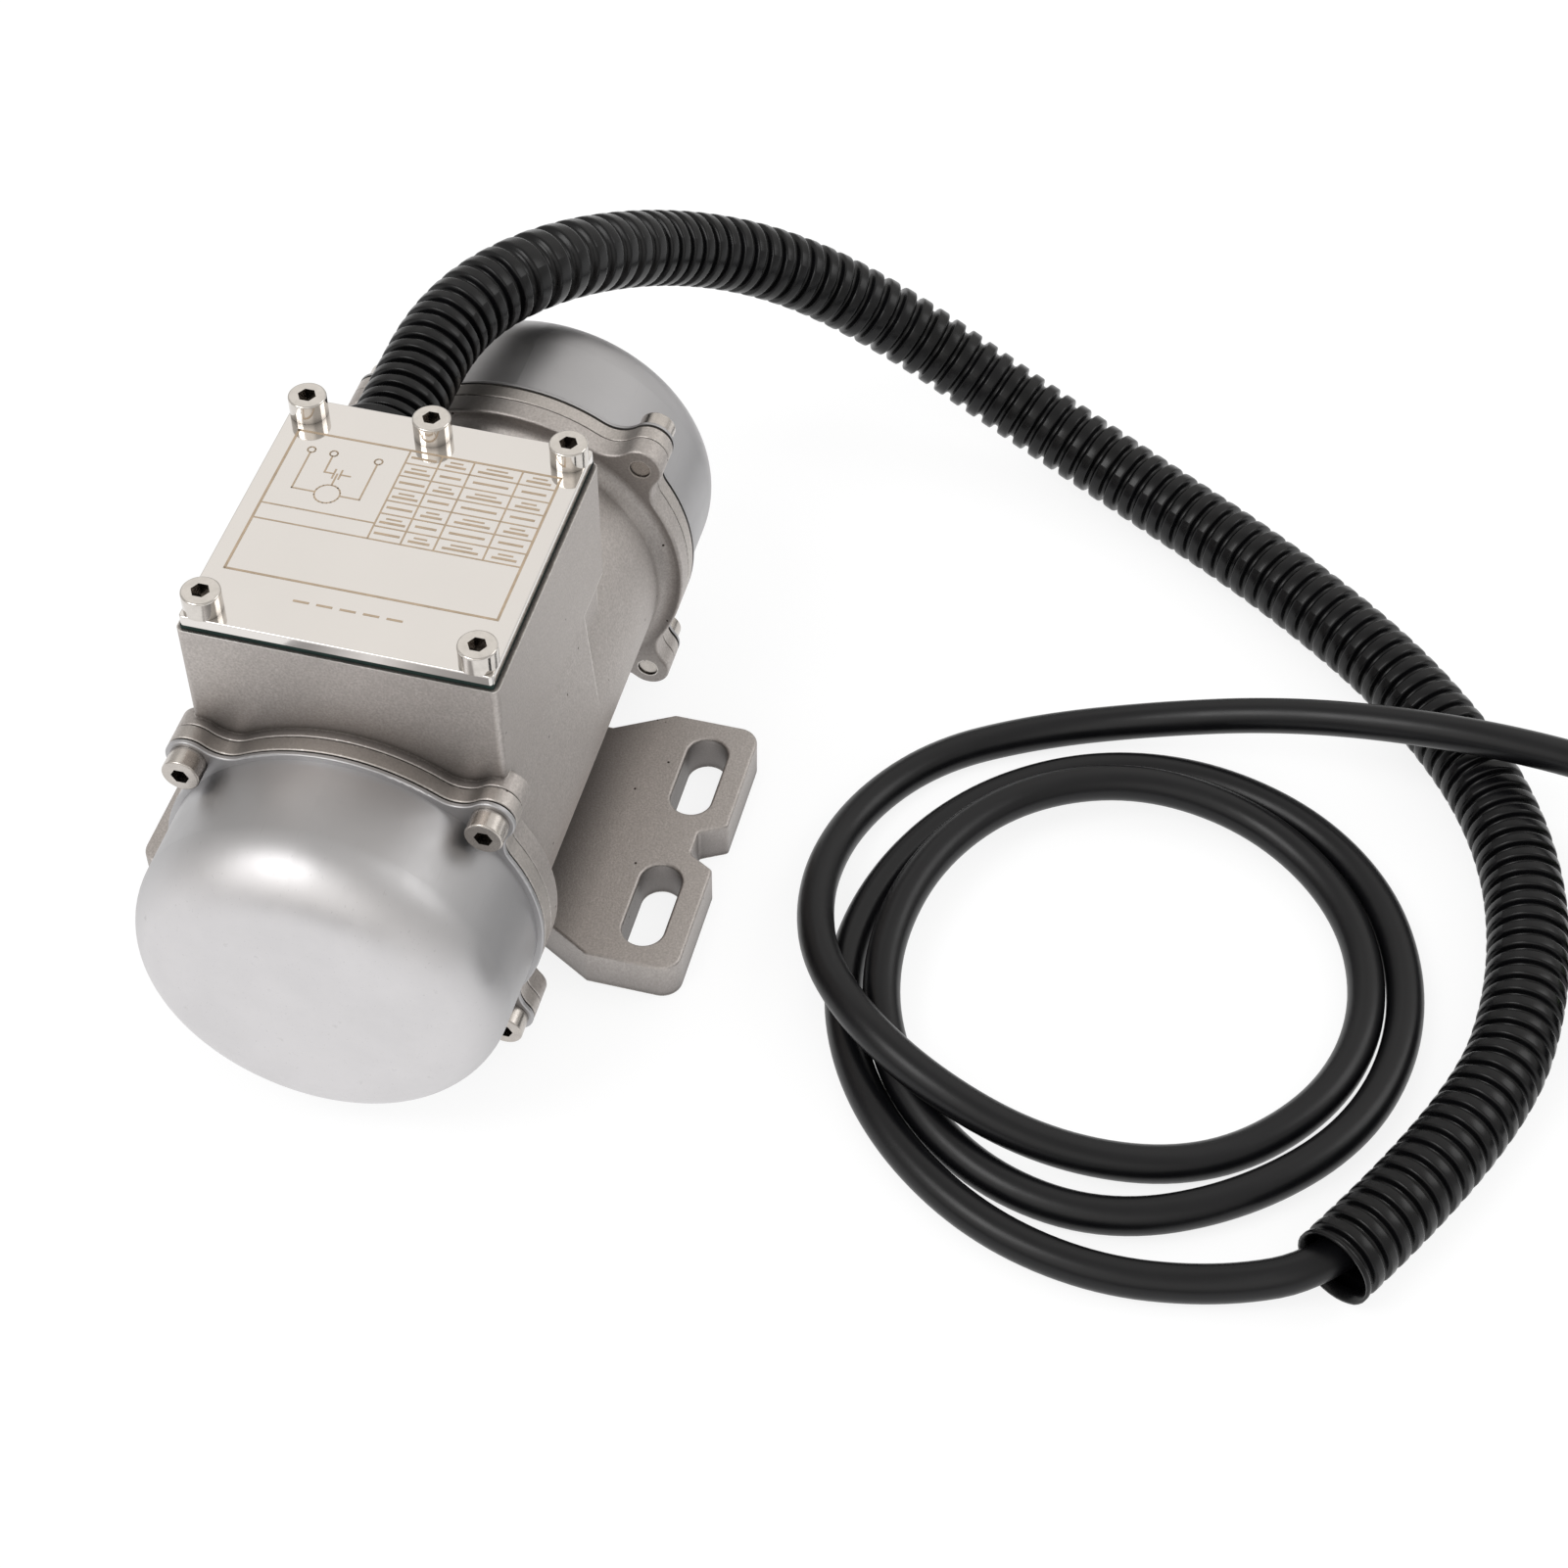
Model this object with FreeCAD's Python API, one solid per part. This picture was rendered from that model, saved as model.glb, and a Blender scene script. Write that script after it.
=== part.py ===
import FreeCAD, Part
import math
import os

# Small single-phase external vibration motor, cast body with drawn end covers.
# Millimetres. The shaft runs along X, Z is up, the origin is on the mounting
# face of the feet, under the middle of the body. -X is the front end (the end
# under the terminal box), +X the rear end, where the conduit leaves.

Vec = FreeCAD.Vector
X_AXIS = Vec(1, 0, 0)
Y_AXIS = Vec(0, 1, 0)
Z_AXIS = Vec(0, 0, 1)

# ---- clearances -------------------------------------------------------------
RUNNING_FIT = 0.05          # radial, between pieces that slide or turn
SEAT_GAP = 0.02             # between faces that are bolted or pressed together
THREAD_FIT = 0.05           # radial, screw shank in its tapped hole
SCREW_CLEARANCE = 0.2       # radial, screw shank in a plain hole

# ---- body casting -----------------------------------------------------------
UNDER_BODY = 6.5            # from the mounting face to the tube's underside
BODY_LENGTH = 91.6          # between the two end-shield faces
BODY_RADIUS = 31.5
BODY_WALL = 3.0
FLANGE_STEP = 4.2           # rim of the end flange above the tube
FLANGE_THICKNESS = 4.5
FLANGE_ROOT_FILLET = 3.0
EAR_REACH = 3.54            # screw centre beyond the flange's rim, on the diagonals
EAR_RADIUS = 4.4
EAR_FILLET = 6.0
CAST_EDGE = 0.6             # rounding of the cast edges
SEAM_EDGE = 0.35            # rounding of the outlines where castings meet

# ---- feet -------------------------------------------------------------------
FOOT_LENGTH = 63.6
FOOT_SPAN = 109.0
FOOT_THICKNESS = 8.5
FOOT_WAIST = 50.0           # length of the plate where it joins the body
FOOT_WAIST_START = 24.5     # from the middle plane, across
FOOT_WAIST_END = 36.5
FOOT_CORNER_RADIUS = 4.0
FOOT_EDGE = 1.0
FOOT_RIM = 0.6              # rounding of the foot's upper rim
SLOT_END_INSET = 14.8       # slot centre from the end of the foot
SLOT_SIDE_INSET = 9.0       # slot centre from the outer edge of the foot
SLOT_WIDTH = 8.2
SLOT_LENGTH = 20.2
NOTCH_MOUTH = 11.4
NOTCH_FLOOR = 5.6
NOTCH_DEPTH = 5.2
BASE_RELIEF_WIDTH = 44.0
BASE_RELIEF_DEPTH = 1.2

# ---- terminal box -----------------------------------------------------------
BOX_SETBACK = 1.8           # front wall behind the body's front face
BOX_LENGTH = 58.1
BOX_WIDTH = 57.6
BOX_HEIGHT = 54.0           # rim above the shaft's axis
BOX_WALL = 3.5
REAR_WALL = 3.0             # wall with the conduit's outlet
BOX_CORNER_RADIUS = 1.2
BOX_ROOT = 12.0             # lower edge of the walls above the axis, inside the tube
SHOULDER_HEIGHT = 27.3      # above the axis, where the side walls lean in to the body
SHOULDER_INSET = 12.6       # rear end of the shoulders before the rear wall
SHOULDER_LEAN = 1.5         # how far the shoulders' rear end leans
POCKET_DEPTH = 1.7          # undercut of the side wall behind each shoulder
BOX_FLOOR_HEIGHT = 20.0     # lowest part of the room above the axis
LID_SCREW_INSET = 3.45
LID_FRONT_TRIM = 0.3        # the front screws sit that much nearer the edge
LID_MIDDLE_SCREW_Y = 1.0
LID_BOSS_RADIUS = 4.2
LID_BOSS_DEPTH = 26.0
LID_TAP_DEPTH = 7.0
LID_SIDE_GAP = 0.8          # lid edge inside the box's side wall
LID_FRONT_GAP = 0.5         # lid edge behind the box's front wall
LID_THICKNESS = 2.0
LID_CORNER_RADIUS = 0.8
LID_EDGE = 0.25
LID_GASKET_THICKNESS = 1.0
LID_GASKET_WIDTH = 3.4
LID_GASKET_TRIM = 0.1       # gasket edge inside the lid's edge
TERMINAL_PAD_PLACE = 30.0   # middle of the pad behind the box's front face
TERMINAL_PAD_LENGTH = 17.0
TERMINAL_PAD_WIDTH = 25.0
TERMINAL_PAD_RISE = 0.7     # above the tube's crown
LEAD_HOLE_PLACE = 12.0      # behind the box's front face
LEAD_HOLE_RADIUS = 4.5
LEAD_BOSS_RADIUS = 7.0
LEAD_BOSS_RISE = 1.5        # above the tube's crown
LEAD_BORE_RADIUS = 3.0      # way through the grommet
EARTH_BOSS_PLACE = 13.0     # behind the box's front face
EARTH_BOSS_Y = 16.5
EARTH_BOSS_RADIUS = 4.5
EARTH_BOSS_RISE = 0.5       # above the tube's crown
EARTH_SCREW_LENGTH = 4.5
POST_ROOT = 1.0             # how deep the posts stand in the tube's wall

# ---- conduit outlet in the rear wall of the box -----------------------------
OUTLET_INSET = 13.8         # conduit axis from the box's side face
OUTLET_DROP = 10.7          # conduit axis below the box's rim
COLLAR_RADIUS = 10.0
COLLAR_NECK = 1.5           # the part in the wall is that much smaller
COLLAR_EDGE = 0.6
COLLAR_LENGTH = 8.9         # from the inner face of the wall
COLLAR_SHOULDER = 4.0
CONDUIT_DIAMETER = 15.8
CONDUIT_BORE = 12.2
CABLE_DIAMETER = 7.2
CABLE_IN_BOX = 12.0         # cable length inside the box, from the wall's inner face

# ---- end shields and covers -------------------------------------------------
SHIELD_THICKNESS = 3.3
SHIELD_WEB = 5.3
SPIGOT_LENGTH = 4.5
SPIGOT_WALL = 3.0
HUB_WALL = 4.0              # round the bearing
HUB_LIP = 1.1               # in front of the bearing
HUB_SPARE = 0.5             # beyond the bearing
HUB_EDGE = 1.0
SHIELD_EDGE = 0.36
SHIELD_OPENING_STEP = 2.5   # opening inside the bearing's outer edge
GASKET_BREADTH = 3.5        # cover gasket, inward from the cover's outside
COVER_GASKET_THICKNESS = 0.4
GASKET_INSET = 0.4          # gasket outline inside the flange's
COVER_STEP = 1.2            # cup inside the flange's rim
COVER_WALL = 1.0
COVER_FLANGE = 0.8
COVER_DEPTH = 28.3          # from the outer face of its flange
COVER_CORNER = 13.0
COVER_EDGE = 0.3

# ---- M4 socket head screws --------------------------------------------------
SCREW_RADIUS = 2.0
SCREW_HEAD_RADIUS = 3.5
SCREW_HEAD_HEIGHT = 4.0
SCREW_HEX = 3.0
SCREW_HEX_DEPTH = 2.2
SCREW_HEAD_EDGE = 0.35
END_SCREW_TIP = -0.4        # thread's end from the back of the body flange
LID_SCREW_LENGTH = 8.0

# ---- bearings 12 x 32 x 10 --------------------------------------------------
BEARING_BORE = 6.0          # radius
BEARING_RADIUS = 16.0
BEARING_WIDTH = 10.0
BEARING_EDGE = 0.5
BALL_RADIUS = 2.975
BALL_COUNT = 7
RACE_CLEARANCE = 0.09
LAND_OFFSET = 2.1           # each race's shoulder from the ball circle
CAGE_HALF_WALL = 0.8
CAGE_WIDTH = 7.2
SEAL_THICKNESS = 0.35
SEAL_INSET = 0.2
SEAL_GAP = 0.3
WAVE_SPRING = 1.0
WAVE_SPRING_THICKNESS = 0.5
WAVE_SPRING_BREADTH = 2.0
WAVE_SPRING_INSET = 0.4      # from the bearing's outside
WAVE_COUNT = 3

# ---- stator and rotor -------------------------------------------------------
CORE_INSET = 25.8           # end of the core behind the body's face
AIR_GAP = 0.3
ROTOR_RADIUS = 15.0
SLOT_COUNT = 24
BACK_IRON = 4.5             # core outside the slots
TOOTH_TIP = 1.5             # core inside the slots
SLOT_BREADTH = 2.4
SLOT_OPENING = 1.0
WEDGE_HEIGHT = 0.6           # room left for the slot closure
COIL_CLEARANCE = 0.25
COIL_INNER_STEP = 2.0       # end winding outside the core's bore
COIL_OUTER_STEP = 1.7       # end winding inside the body's bore
COIL_EDGE = 3.0
COIL_OVERHANG = 11.0
COIL_GAP = 1.6              # from the core's end face to the end winding
BAR_COUNT = 17
BAR_RADIUS = 1.4
BAR_INSET = 2.6             # bar centre inside the rotor's surface
END_RING_STEP = 0.4         # end ring inside the rotor's surface
END_RING_BREADTH = 4.2
END_RING_LENGTH = 5.0

# ---- shaft and weights ------------------------------------------------------
CORE_SEAT_STEP = 2.0        # rotor seat above the bearing seat
CORE_SEAT_OVERHANG = 6.0
SHOULDER_STEP = 1.0         # bearing shoulder above the bearing seat
WEIGHT_SEAT_STEP = 1.0      # weight seat below the bearing seat
WEIGHT_SHIELD_GAP = 1.9     # inner weight to the end shield
SHAFT_CHAMFER = 0.6
WEIGHT_THICKNESS = 6.5
WEIGHT_GAP = 0.4
WEIGHT_RADIUS = 27.0
WEIGHT_HUB_WALL = 4.0
KEY_WIDTH = 3.0
KEY_DEPTH = 1.6             # below the shaft's surface
KEY_HEIGHT = 3.0
GRUB_RADIUS = 2.0
GRUB_HEX = 2.0
GRUB_HEX_DEPTH = 1.8
GRUB_SINK = 0.3             # below the hub's surface
CIRCLIP_THICKNESS = 1.0
CIRCLIP_BREADTH = 3.0
CIRCLIP_GROOVE_DEPTH = 0.4
CIRCLIP_OPENING = 3.0
SHAFT_END = 4.0             # shaft beyond the circlip

# ---- inside the terminal box ------------------------------------------------
CAPACITOR_LENGTH = 32.0
CAPACITOR_WIDTH = 12.0
CAPACITOR_HEIGHT = 18.0
CAPACITOR_PLACE = 27.0       # its middle behind the box's front face
CAPACITOR_SIDE_GAP = 0.2     # to the side wall of the box
CAPACITOR_EDGE = 1.5
BLOCK_WIDTH = 10.0
BLOCK_LENGTH = 24.0
BLOCK_HEIGHT = 9.0
BLOCK_POLES = 3
BLOCK_PITCH = 7.5
BLOCK_SCREW_RADIUS = 1.7
BLOCK_WAY_RADIUS = 1.6
BLOCK_WAY_HEIGHT = 3.2
FIXING_RADIUS = 1.0
FIXING_HEAD_RADIUS = 1.8
FIXING_DEPTH = 3.5
FIXING_HEAD_HEIGHT = 1.3
FIXING_WELL = 2.5           # depth of the head's well
DRILL_SPARE = 0.3           # hole beyond the screw's tip
SCREW_SLOT = 0.7
WIRE_RADIUS = 0.7
WIRE_OFFSET = 0.8           # of each of two wires that share a way
CLAMP_INSET = 10.9          # clamp's middle before the box's rear face
CLAMP_WIDTH = 6.0
CLAMP_SPAN = 16.0
CLAMP_SCREW_RADIUS = 1.2
CLAMP_HEAD_RADIUS = 1.45
CLAMP_HEAD_HEIGHT = 1.6
CLAMP_SCREW_OFFSET = 2.5     # screw centre beside the cable
CLAMP_SCREW_DEPTH = 4.0     # below the cable
CLAMP_SADDLE = 1.4          # saddle above the cable
CLAMP_SHOULDER = 0.9        # saddle beside the cable

# ---- free cable and conduit: control points of their routes -----------------
CONDUIT_ROUTE = [               # after its seat in the collar
    (28.0, 15.0, 81.3), (55.0, 15.0, 84.8), (79.0, 3.5, 81.4), (114.0, -12.0, 61.0),
    (134.0, -33.0, 44.5), (140.0, -58.0, 28.6), (136.0, -85.0, 15.6), (125.0, -116.0, 7.9),
    (103.0, -150.0, 7.9), (76.0, -181.0, 7.9), (44.0, -204.0, 7.9), (8.0, -212.0, 7.9),
    (-28.0, -206.0, 7.9), (-60.0, -186.0, 7.9),
]
CABLE_ROUTE = [
    (-60.0, -186.0, 7.9), (-71.0, -166.0, 3.6), (-74.0, -142.0, 3.6), (-67.0, -117.0, 3.6),
    (-49.0, -95.0, 3.6), (-24.0, -83.0, 3.6), (3.0, -84.0, 3.6), (28.0, -96.0, 3.6),
    (44.0, -117.0, 3.6), (48.0, -142.0, 3.6), (40.0, -167.0, 3.6), (22.0, -185.0, 3.6),
    (-4.0, -192.0, 3.6), (-31.0, -185.0, 5.0), (-52.0, -166.0, 5.0), (-63.0, -143.0, 3.6),
    (-58.0, -119.0, 3.6), (-42.0, -99.0, 3.6), (-19.0, -90.0, 6.0), (8.0, -93.0, 7.0),
    (30.0, -108.0, 7.0), (41.0, -131.0, 7.0), (37.0, -156.0, 5.0), (20.0, -176.0, 3.6),
    (-4.0, -184.0, 3.6), (-28.0, -178.0, 3.6), (-47.0, -159.0, 3.6), (-52.0, -132.0, 7.0),
    (-44.0, -104.0, 12.0), (-26.0, -82.0, 12.0), (-3.0, -74.0, 7.0), (21.0, -76.0, 3.6),
    (41.0, -87.0, 3.6), (53.0, -106.0, 3.6), (58.0, -130.0, 7.0), (58.0, -155.0, 14.0),
    (55.0, -180.0, 21.0), (54.0, -207.0, 23.0), (55.0, -232.0, 18.0), (58.0, -257.0, 4.4),
]
TURN_SHARE = 0.45           # share of the shorter run that each arc takes up

# ---- put-away coil at the cable's far end -----------------------------------
COIL_CENTRE_X = 14.0
COIL_CENTRE_Y = -275.0
COIL_MEAN_RADIUS = 40.0
COIL_TURN_PITCH = 7.4
COIL_TOP_TURN_DEGREES = 265.0
COIL_TOP_RISE = 6.4
TIE_THICKNESS = 0.7
TIE_WIDTH = 9.0
TIE_CLEARANCE = 0.05
FLOOR_CLEARANCE = 0.05      # under the strap
CORE_WIRE_RADIUS = 1.15
CORE_WIRE_DEGREES = 42.0
CORE_WIRE_SPACING = 2.6
FERRULE_RADIUS = 0.8
FERRULE_DEGREES = 9.0
FERRULE_GAP_DEGREES = 0.03


# ---- values that follow from the ones above ---------------------------------
SHAFT_HEIGHT = UNDER_BODY + BODY_RADIUS
BORE_RADIUS = BODY_RADIUS - BODY_WALL
CROWN = SHAFT_HEIGHT + BODY_RADIUS
FLANGE_RADIUS = BODY_RADIUS + FLANGE_STEP
FACE_X = BODY_LENGTH / 2
SHIELD_X = FACE_X + SHIELD_THICKNESS
GASKET_X = SHIELD_X + COVER_GASKET_THICKNESS
COVER_X = GASKET_X + COVER_FLANGE
EAR_CIRCLE = FLANGE_RADIUS + EAR_REACH
EAR_OFFSET = EAR_CIRCLE / math.sqrt(2)
COVER_RADIUS = FLANGE_RADIUS - COVER_STEP
SLOT_SPACING_ALONG = FOOT_LENGTH - 2 * SLOT_END_INSET
SLOT_SPACING_ACROSS = FOOT_SPAN - 2 * SLOT_SIDE_INSET
STATOR_RADIUS = BORE_RADIUS - SEAT_GAP
STATOR_INNER = ROTOR_RADIUS + AIR_GAP
CORE_LENGTH = BODY_LENGTH - 2 * CORE_INSET
SLOT_BOTTOM = STATOR_RADIUS - BACK_IRON
SLOT_TOP = STATOR_INNER + TOOTH_TIP
COIL_INNER = STATOR_INNER + COIL_INNER_STEP
COIL_OUTER = BORE_RADIUS - COIL_OUTER_STEP
BAR_CIRCLE = ROTOR_RADIUS - BAR_INSET
BOX_FRONT = -FACE_X + BOX_SETBACK
BOX_REAR = BOX_FRONT + BOX_LENGTH
BOX_TOP = SHAFT_HEIGHT + BOX_HEIGHT
BOX_FLOOR = SHAFT_HEIGHT + BOX_FLOOR_HEIGHT
SHOULDER_TOP = SHAFT_HEIGHT + SHOULDER_HEIGHT
SHOULDER_REAR = BOX_REAR - SHOULDER_INSET
BOX_HALF = BOX_WIDTH / 2
LID_WIDTH = BOX_WIDTH - 2 * LID_SIDE_GAP
TERMINAL_PAD_X = BOX_FRONT + TERMINAL_PAD_PLACE
TERMINAL_PAD_TOP = CROWN + TERMINAL_PAD_RISE
LEAD_HOLE_X = BOX_FRONT + LEAD_HOLE_PLACE
LEAD_BOSS_TOP = CROWN + LEAD_BOSS_RISE
EARTH_BOSS_X = BOX_FRONT + EARTH_BOSS_PLACE
EARTH_BOSS_TOP = CROWN + EARTH_BOSS_RISE
POST_BASE = SHAFT_HEIGHT + BORE_RADIUS + POST_ROOT
OUTLET_Y = BOX_HALF - OUTLET_INSET
OUTLET_Z = BOX_TOP - OUTLET_DROP
CLAMP_X = BOX_REAR - CLAMP_INSET
LID_SCREW_Y = LID_WIDTH / 2 - LID_SCREW_INSET
LID_FRONT = BOX_FRONT + LID_FRONT_GAP
LID_SCREW_FRONT = LID_FRONT + LID_SCREW_INSET - LID_FRONT_TRIM
LID_SCREW_REAR = BOX_REAR - LID_SCREW_INSET
LID_UNDERSIDE = BOX_TOP + LID_GASKET_THICKNESS
LID_TOP = LID_UNDERSIDE + LID_THICKNESS
WALL_INNER_X = BOX_REAR - REAR_WALL
BEARING_OUTER_X = SHIELD_X - HUB_LIP
HUB_RADIUS = BEARING_RADIUS + HUB_WALL
HUB_LENGTH = HUB_LIP + BEARING_WIDTH + HUB_SPARE
BALL_CIRCLE = (BEARING_BORE + BEARING_RADIUS) / 2
INNER_LAND_RADIUS = BALL_CIRCLE - LAND_OFFSET
OUTER_LAND_RADIUS = BALL_CIRCLE + LAND_OFFSET
CORE_SEAT_RADIUS = BEARING_BORE + CORE_SEAT_STEP
SHOULDER_RADIUS = BEARING_BORE + SHOULDER_STEP
WEIGHT_SEAT_RADIUS = BEARING_BORE - WEIGHT_SEAT_STEP
WEIGHT_HUB_RADIUS = WEIGHT_SEAT_RADIUS + WEIGHT_HUB_WALL
WEIGHT_START = SHIELD_X + WEIGHT_SHIELD_GAP
CIRCLIP_GROOVE = WEIGHT_SEAT_RADIUS - CIRCLIP_GROOVE_DEPTH
CIRCLIP_OUTER = CIRCLIP_GROOVE + CIRCLIP_BREADTH
ADJUSTABLE_START = WEIGHT_START + WEIGHT_THICKNESS + WEIGHT_GAP
CIRCLIP_START = ADJUSTABLE_START + WEIGHT_THICKNESS + WEIGHT_GAP
CONDUIT_RADIUS = CONDUIT_DIAMETER / 2
CABLE_RADIUS = CABLE_DIAMETER / 2
COIL_LEVEL = CABLE_RADIUS + TIE_CLEARANCE + TIE_THICKNESS + FLOOR_CLEARANCE
CAPACITOR_X = BOX_FRONT + CAPACITOR_PLACE
CAPACITOR_Y = -BOX_HALF + BOX_WALL + CAPACITOR_SIDE_GAP + CAPACITOR_WIDTH / 2
CAPACITOR_FOOT = SHAFT_HEIGHT + SEAT_GAP + math.sqrt(
    BODY_RADIUS**2 - (CAPACITOR_Y + CAPACITOR_WIDTH / 2)**2)
BLOCK_BASE = TERMINAL_PAD_TOP + SEAT_GAP
BLOCK_WAY_Z = BLOCK_BASE + BLOCK_WAY_HEIGHT


# ---- plain shapes -----------------------------------------------------------
def cylinder_x(radius, x_low, x_high, y=0.0, z=SHAFT_HEIGHT):
    """Solid cylinder along X."""
    return Part.makeCylinder(radius, x_high - x_low, Vec(x_low, y, z), X_AXIS)


def cylinder_z(radius, z_low, z_high, x, y):
    """Solid cylinder along Z."""
    return Part.makeCylinder(radius, z_high - z_low, Vec(x, y, z_low), Z_AXIS)


def block(x_low, x_high, y_low, y_high, z_low, z_high):
    """Rectangular block between two corners."""
    size = (x_high - x_low, y_high - y_low, z_high - z_low)
    return Part.makeBox(*size, Vec(x_low, y_low, z_low))


def fused(shapes):
    """One solid of several overlapping ones, without the seams."""
    return shapes[0].multiFuse(shapes[1:]).removeSplitter()


def group(solids):
    """Separate solids kept in one node."""
    return Part.makeCompound(solids)


def mirrored_end(shape):
    """The same shape at the other end of the shaft."""
    return shape.mirror(Vec(0, 0, 0), X_AXIS)


def turned_about_shaft(shape, degrees):
    """A copy turned about the shaft's axis."""
    copy = shape.copy()
    copy.rotate(Vec(0, 0, SHAFT_HEIGHT), X_AXIS, degrees)
    return copy


def prism(points, direction):
    """Straight prism on a closed outline of points."""
    outline = Part.makePolygon([Vec(*p) for p in points] + [Vec(*points[0])])
    return Part.Face(outline).extrude(direction)


def revolved(profile, degrees=360.0):
    """Turned solid from (x, radius) points about the shaft's axis."""
    outline = [Vec(x, 0, SHAFT_HEIGHT + r) for x, r in profile]
    face = Part.Face(Part.makePolygon(outline + [outline[0]]))
    return face.revolve(Vec(0, 0, SHAFT_HEIGHT), X_AXIS, degrees)


def hex_prism(across_flats, depth, base, direction):
    """Hexagonal socket cutter, standing on base along direction."""
    side = Z_AXIS if abs(direction.z) < 0.5 else X_AXIS
    other = direction.cross(side)
    corners = []
    for step in range(6):
        angle = math.radians(60 * step + 30)
        reach = across_flats / 2 / math.cos(math.radians(30))
        corners.append(base + side * (reach * math.cos(angle)) + other * (reach * math.sin(angle)))
    face = Part.Face(Part.makePolygon(corners + [corners[0]]))
    return face.extrude(direction * depth)


def edges_where(shape, test):
    """Edges whose middle point passes the test."""
    found = []
    for edge in shape.Edges:
        middle = edge.valueAt((edge.FirstParameter + edge.LastParameter) / 2)
        if test(edge, middle):
            found.append(edge)
    return found


def rounded(shape, radius, test):
    """Shape with the chosen edges rounded."""
    return shape.makeFillet(radius, edges_where(shape, test))


def along(edge, axis):
    """True for a straight edge along the axis."""
    if edge.Curve.TypeId != "Part::GeomLine":
        return False
    return abs(edge.tangentAt(edge.FirstParameter).dot(axis)) > 0.999


# ---- fasteners --------------------------------------------------------------
def socket_screw(seat, outward, length):
    """M4 socket head cap screw; its head stands outward from the seat."""
    head = Part.makeCylinder(SCREW_HEAD_RADIUS, SCREW_HEAD_HEIGHT, seat, outward)
    crown = [e for e in head.Edges if (e.CenterOfMass - seat).dot(outward) > SCREW_HEAD_HEIGHT - 0.1]
    head = head.makeFillet(SCREW_HEAD_EDGE, crown[:1])
    shank = Part.makeCylinder(SCREW_RADIUS, length + 0.5, seat + outward * 0.5, outward * -1)
    top = seat + outward * (SCREW_HEAD_HEIGHT - SCREW_HEX_DEPTH)
    socket = hex_prism(SCREW_HEX, SCREW_HEX_DEPTH + 0.1, top, outward)
    return head.fuse(shank).removeSplitter().cut(socket)


def lid_screw_places():
    """Centres of the five lid screws, as (x, y)."""
    corners = [(x, y) for x in (LID_SCREW_FRONT, LID_SCREW_REAR) for y in (-LID_SCREW_Y, LID_SCREW_Y)]
    return corners + [(LID_SCREW_REAR, LID_MIDDLE_SCREW_Y)]


def ear_places():
    """Centres of the four end screws, as (y, z)."""
    signs = [(-1, -1), (-1, 1), (1, -1), (1, 1)]
    return [(sy * EAR_OFFSET, SHAFT_HEIGHT + sz * EAR_OFFSET) for sy, sz in signs]


# ---- four-eared outline shared by flange, shield, gasket and cover ----------
def polar(radius, angle):
    """Point in the plane across the shaft, by radius and angle from +Y."""
    return Vec(0, radius * math.cos(angle), SHAFT_HEIGHT + radius * math.sin(angle))


def eared_plate(x_low, x_high, ring_radius=FLANGE_RADIUS, ear_radius=EAR_RADIUS):
    """Round plate with four screw ears, blended into the ring by hollow arcs."""
    reach = ring_radius + EAR_FILLET
    span = ear_radius + EAR_FILLET
    spread = (EAR_CIRCLE**2 + reach**2 - span**2) / (2 * EAR_CIRCLE * reach)
    offset = math.acos(spread)
    edges = []
    for quarter in range(4):
        angle = math.radians(45 + 90 * quarter)
        ear = polar(EAR_CIRCLE, angle)
        hollow = [polar(reach, angle - offset), polar(reach, angle + offset)]
        on_ring = [polar(ring_radius, angle - offset), polar(ring_radius, angle + offset)]
        on_ear = [ear + (c - ear).normalize() * ear_radius for c in hollow]
        for side in (0, 1):
            toward = (on_ring[side] + on_ear[side]) * 0.5 - hollow[side]
            middle = hollow[side] + toward.normalize() * EAR_FILLET
            ends = (on_ring[side], on_ear[side]) if side == 0 else (on_ear[side], on_ring[side])
            edges.append(Part.Arc(ends[0], middle, ends[1]).toShape())
            if side == 0:
                tip = polar(EAR_CIRCLE + ear_radius, angle)
                edges.append(Part.Arc(on_ear[0], tip, on_ear[1]).toShape())
        next_start = polar(ring_radius, angle + math.radians(90) - offset)
        ring_middle = polar(ring_radius, angle + math.radians(45))
        edges.append(Part.Arc(on_ring[1], ring_middle, next_start).toShape())
    face = Part.Face(Part.Wire(edges))
    plate = face.extrude(X_AXIS * (x_high - x_low))
    plate.translate(Vec(x_low, 0, 0))
    return plate


def drill_ears(plate, radius, x_low, x_high):
    """The four ear holes cut through a plate."""
    return plate.cut(group([cylinder_x(radius, x_low, x_high, y, z) for y, z in ear_places()]))


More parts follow.
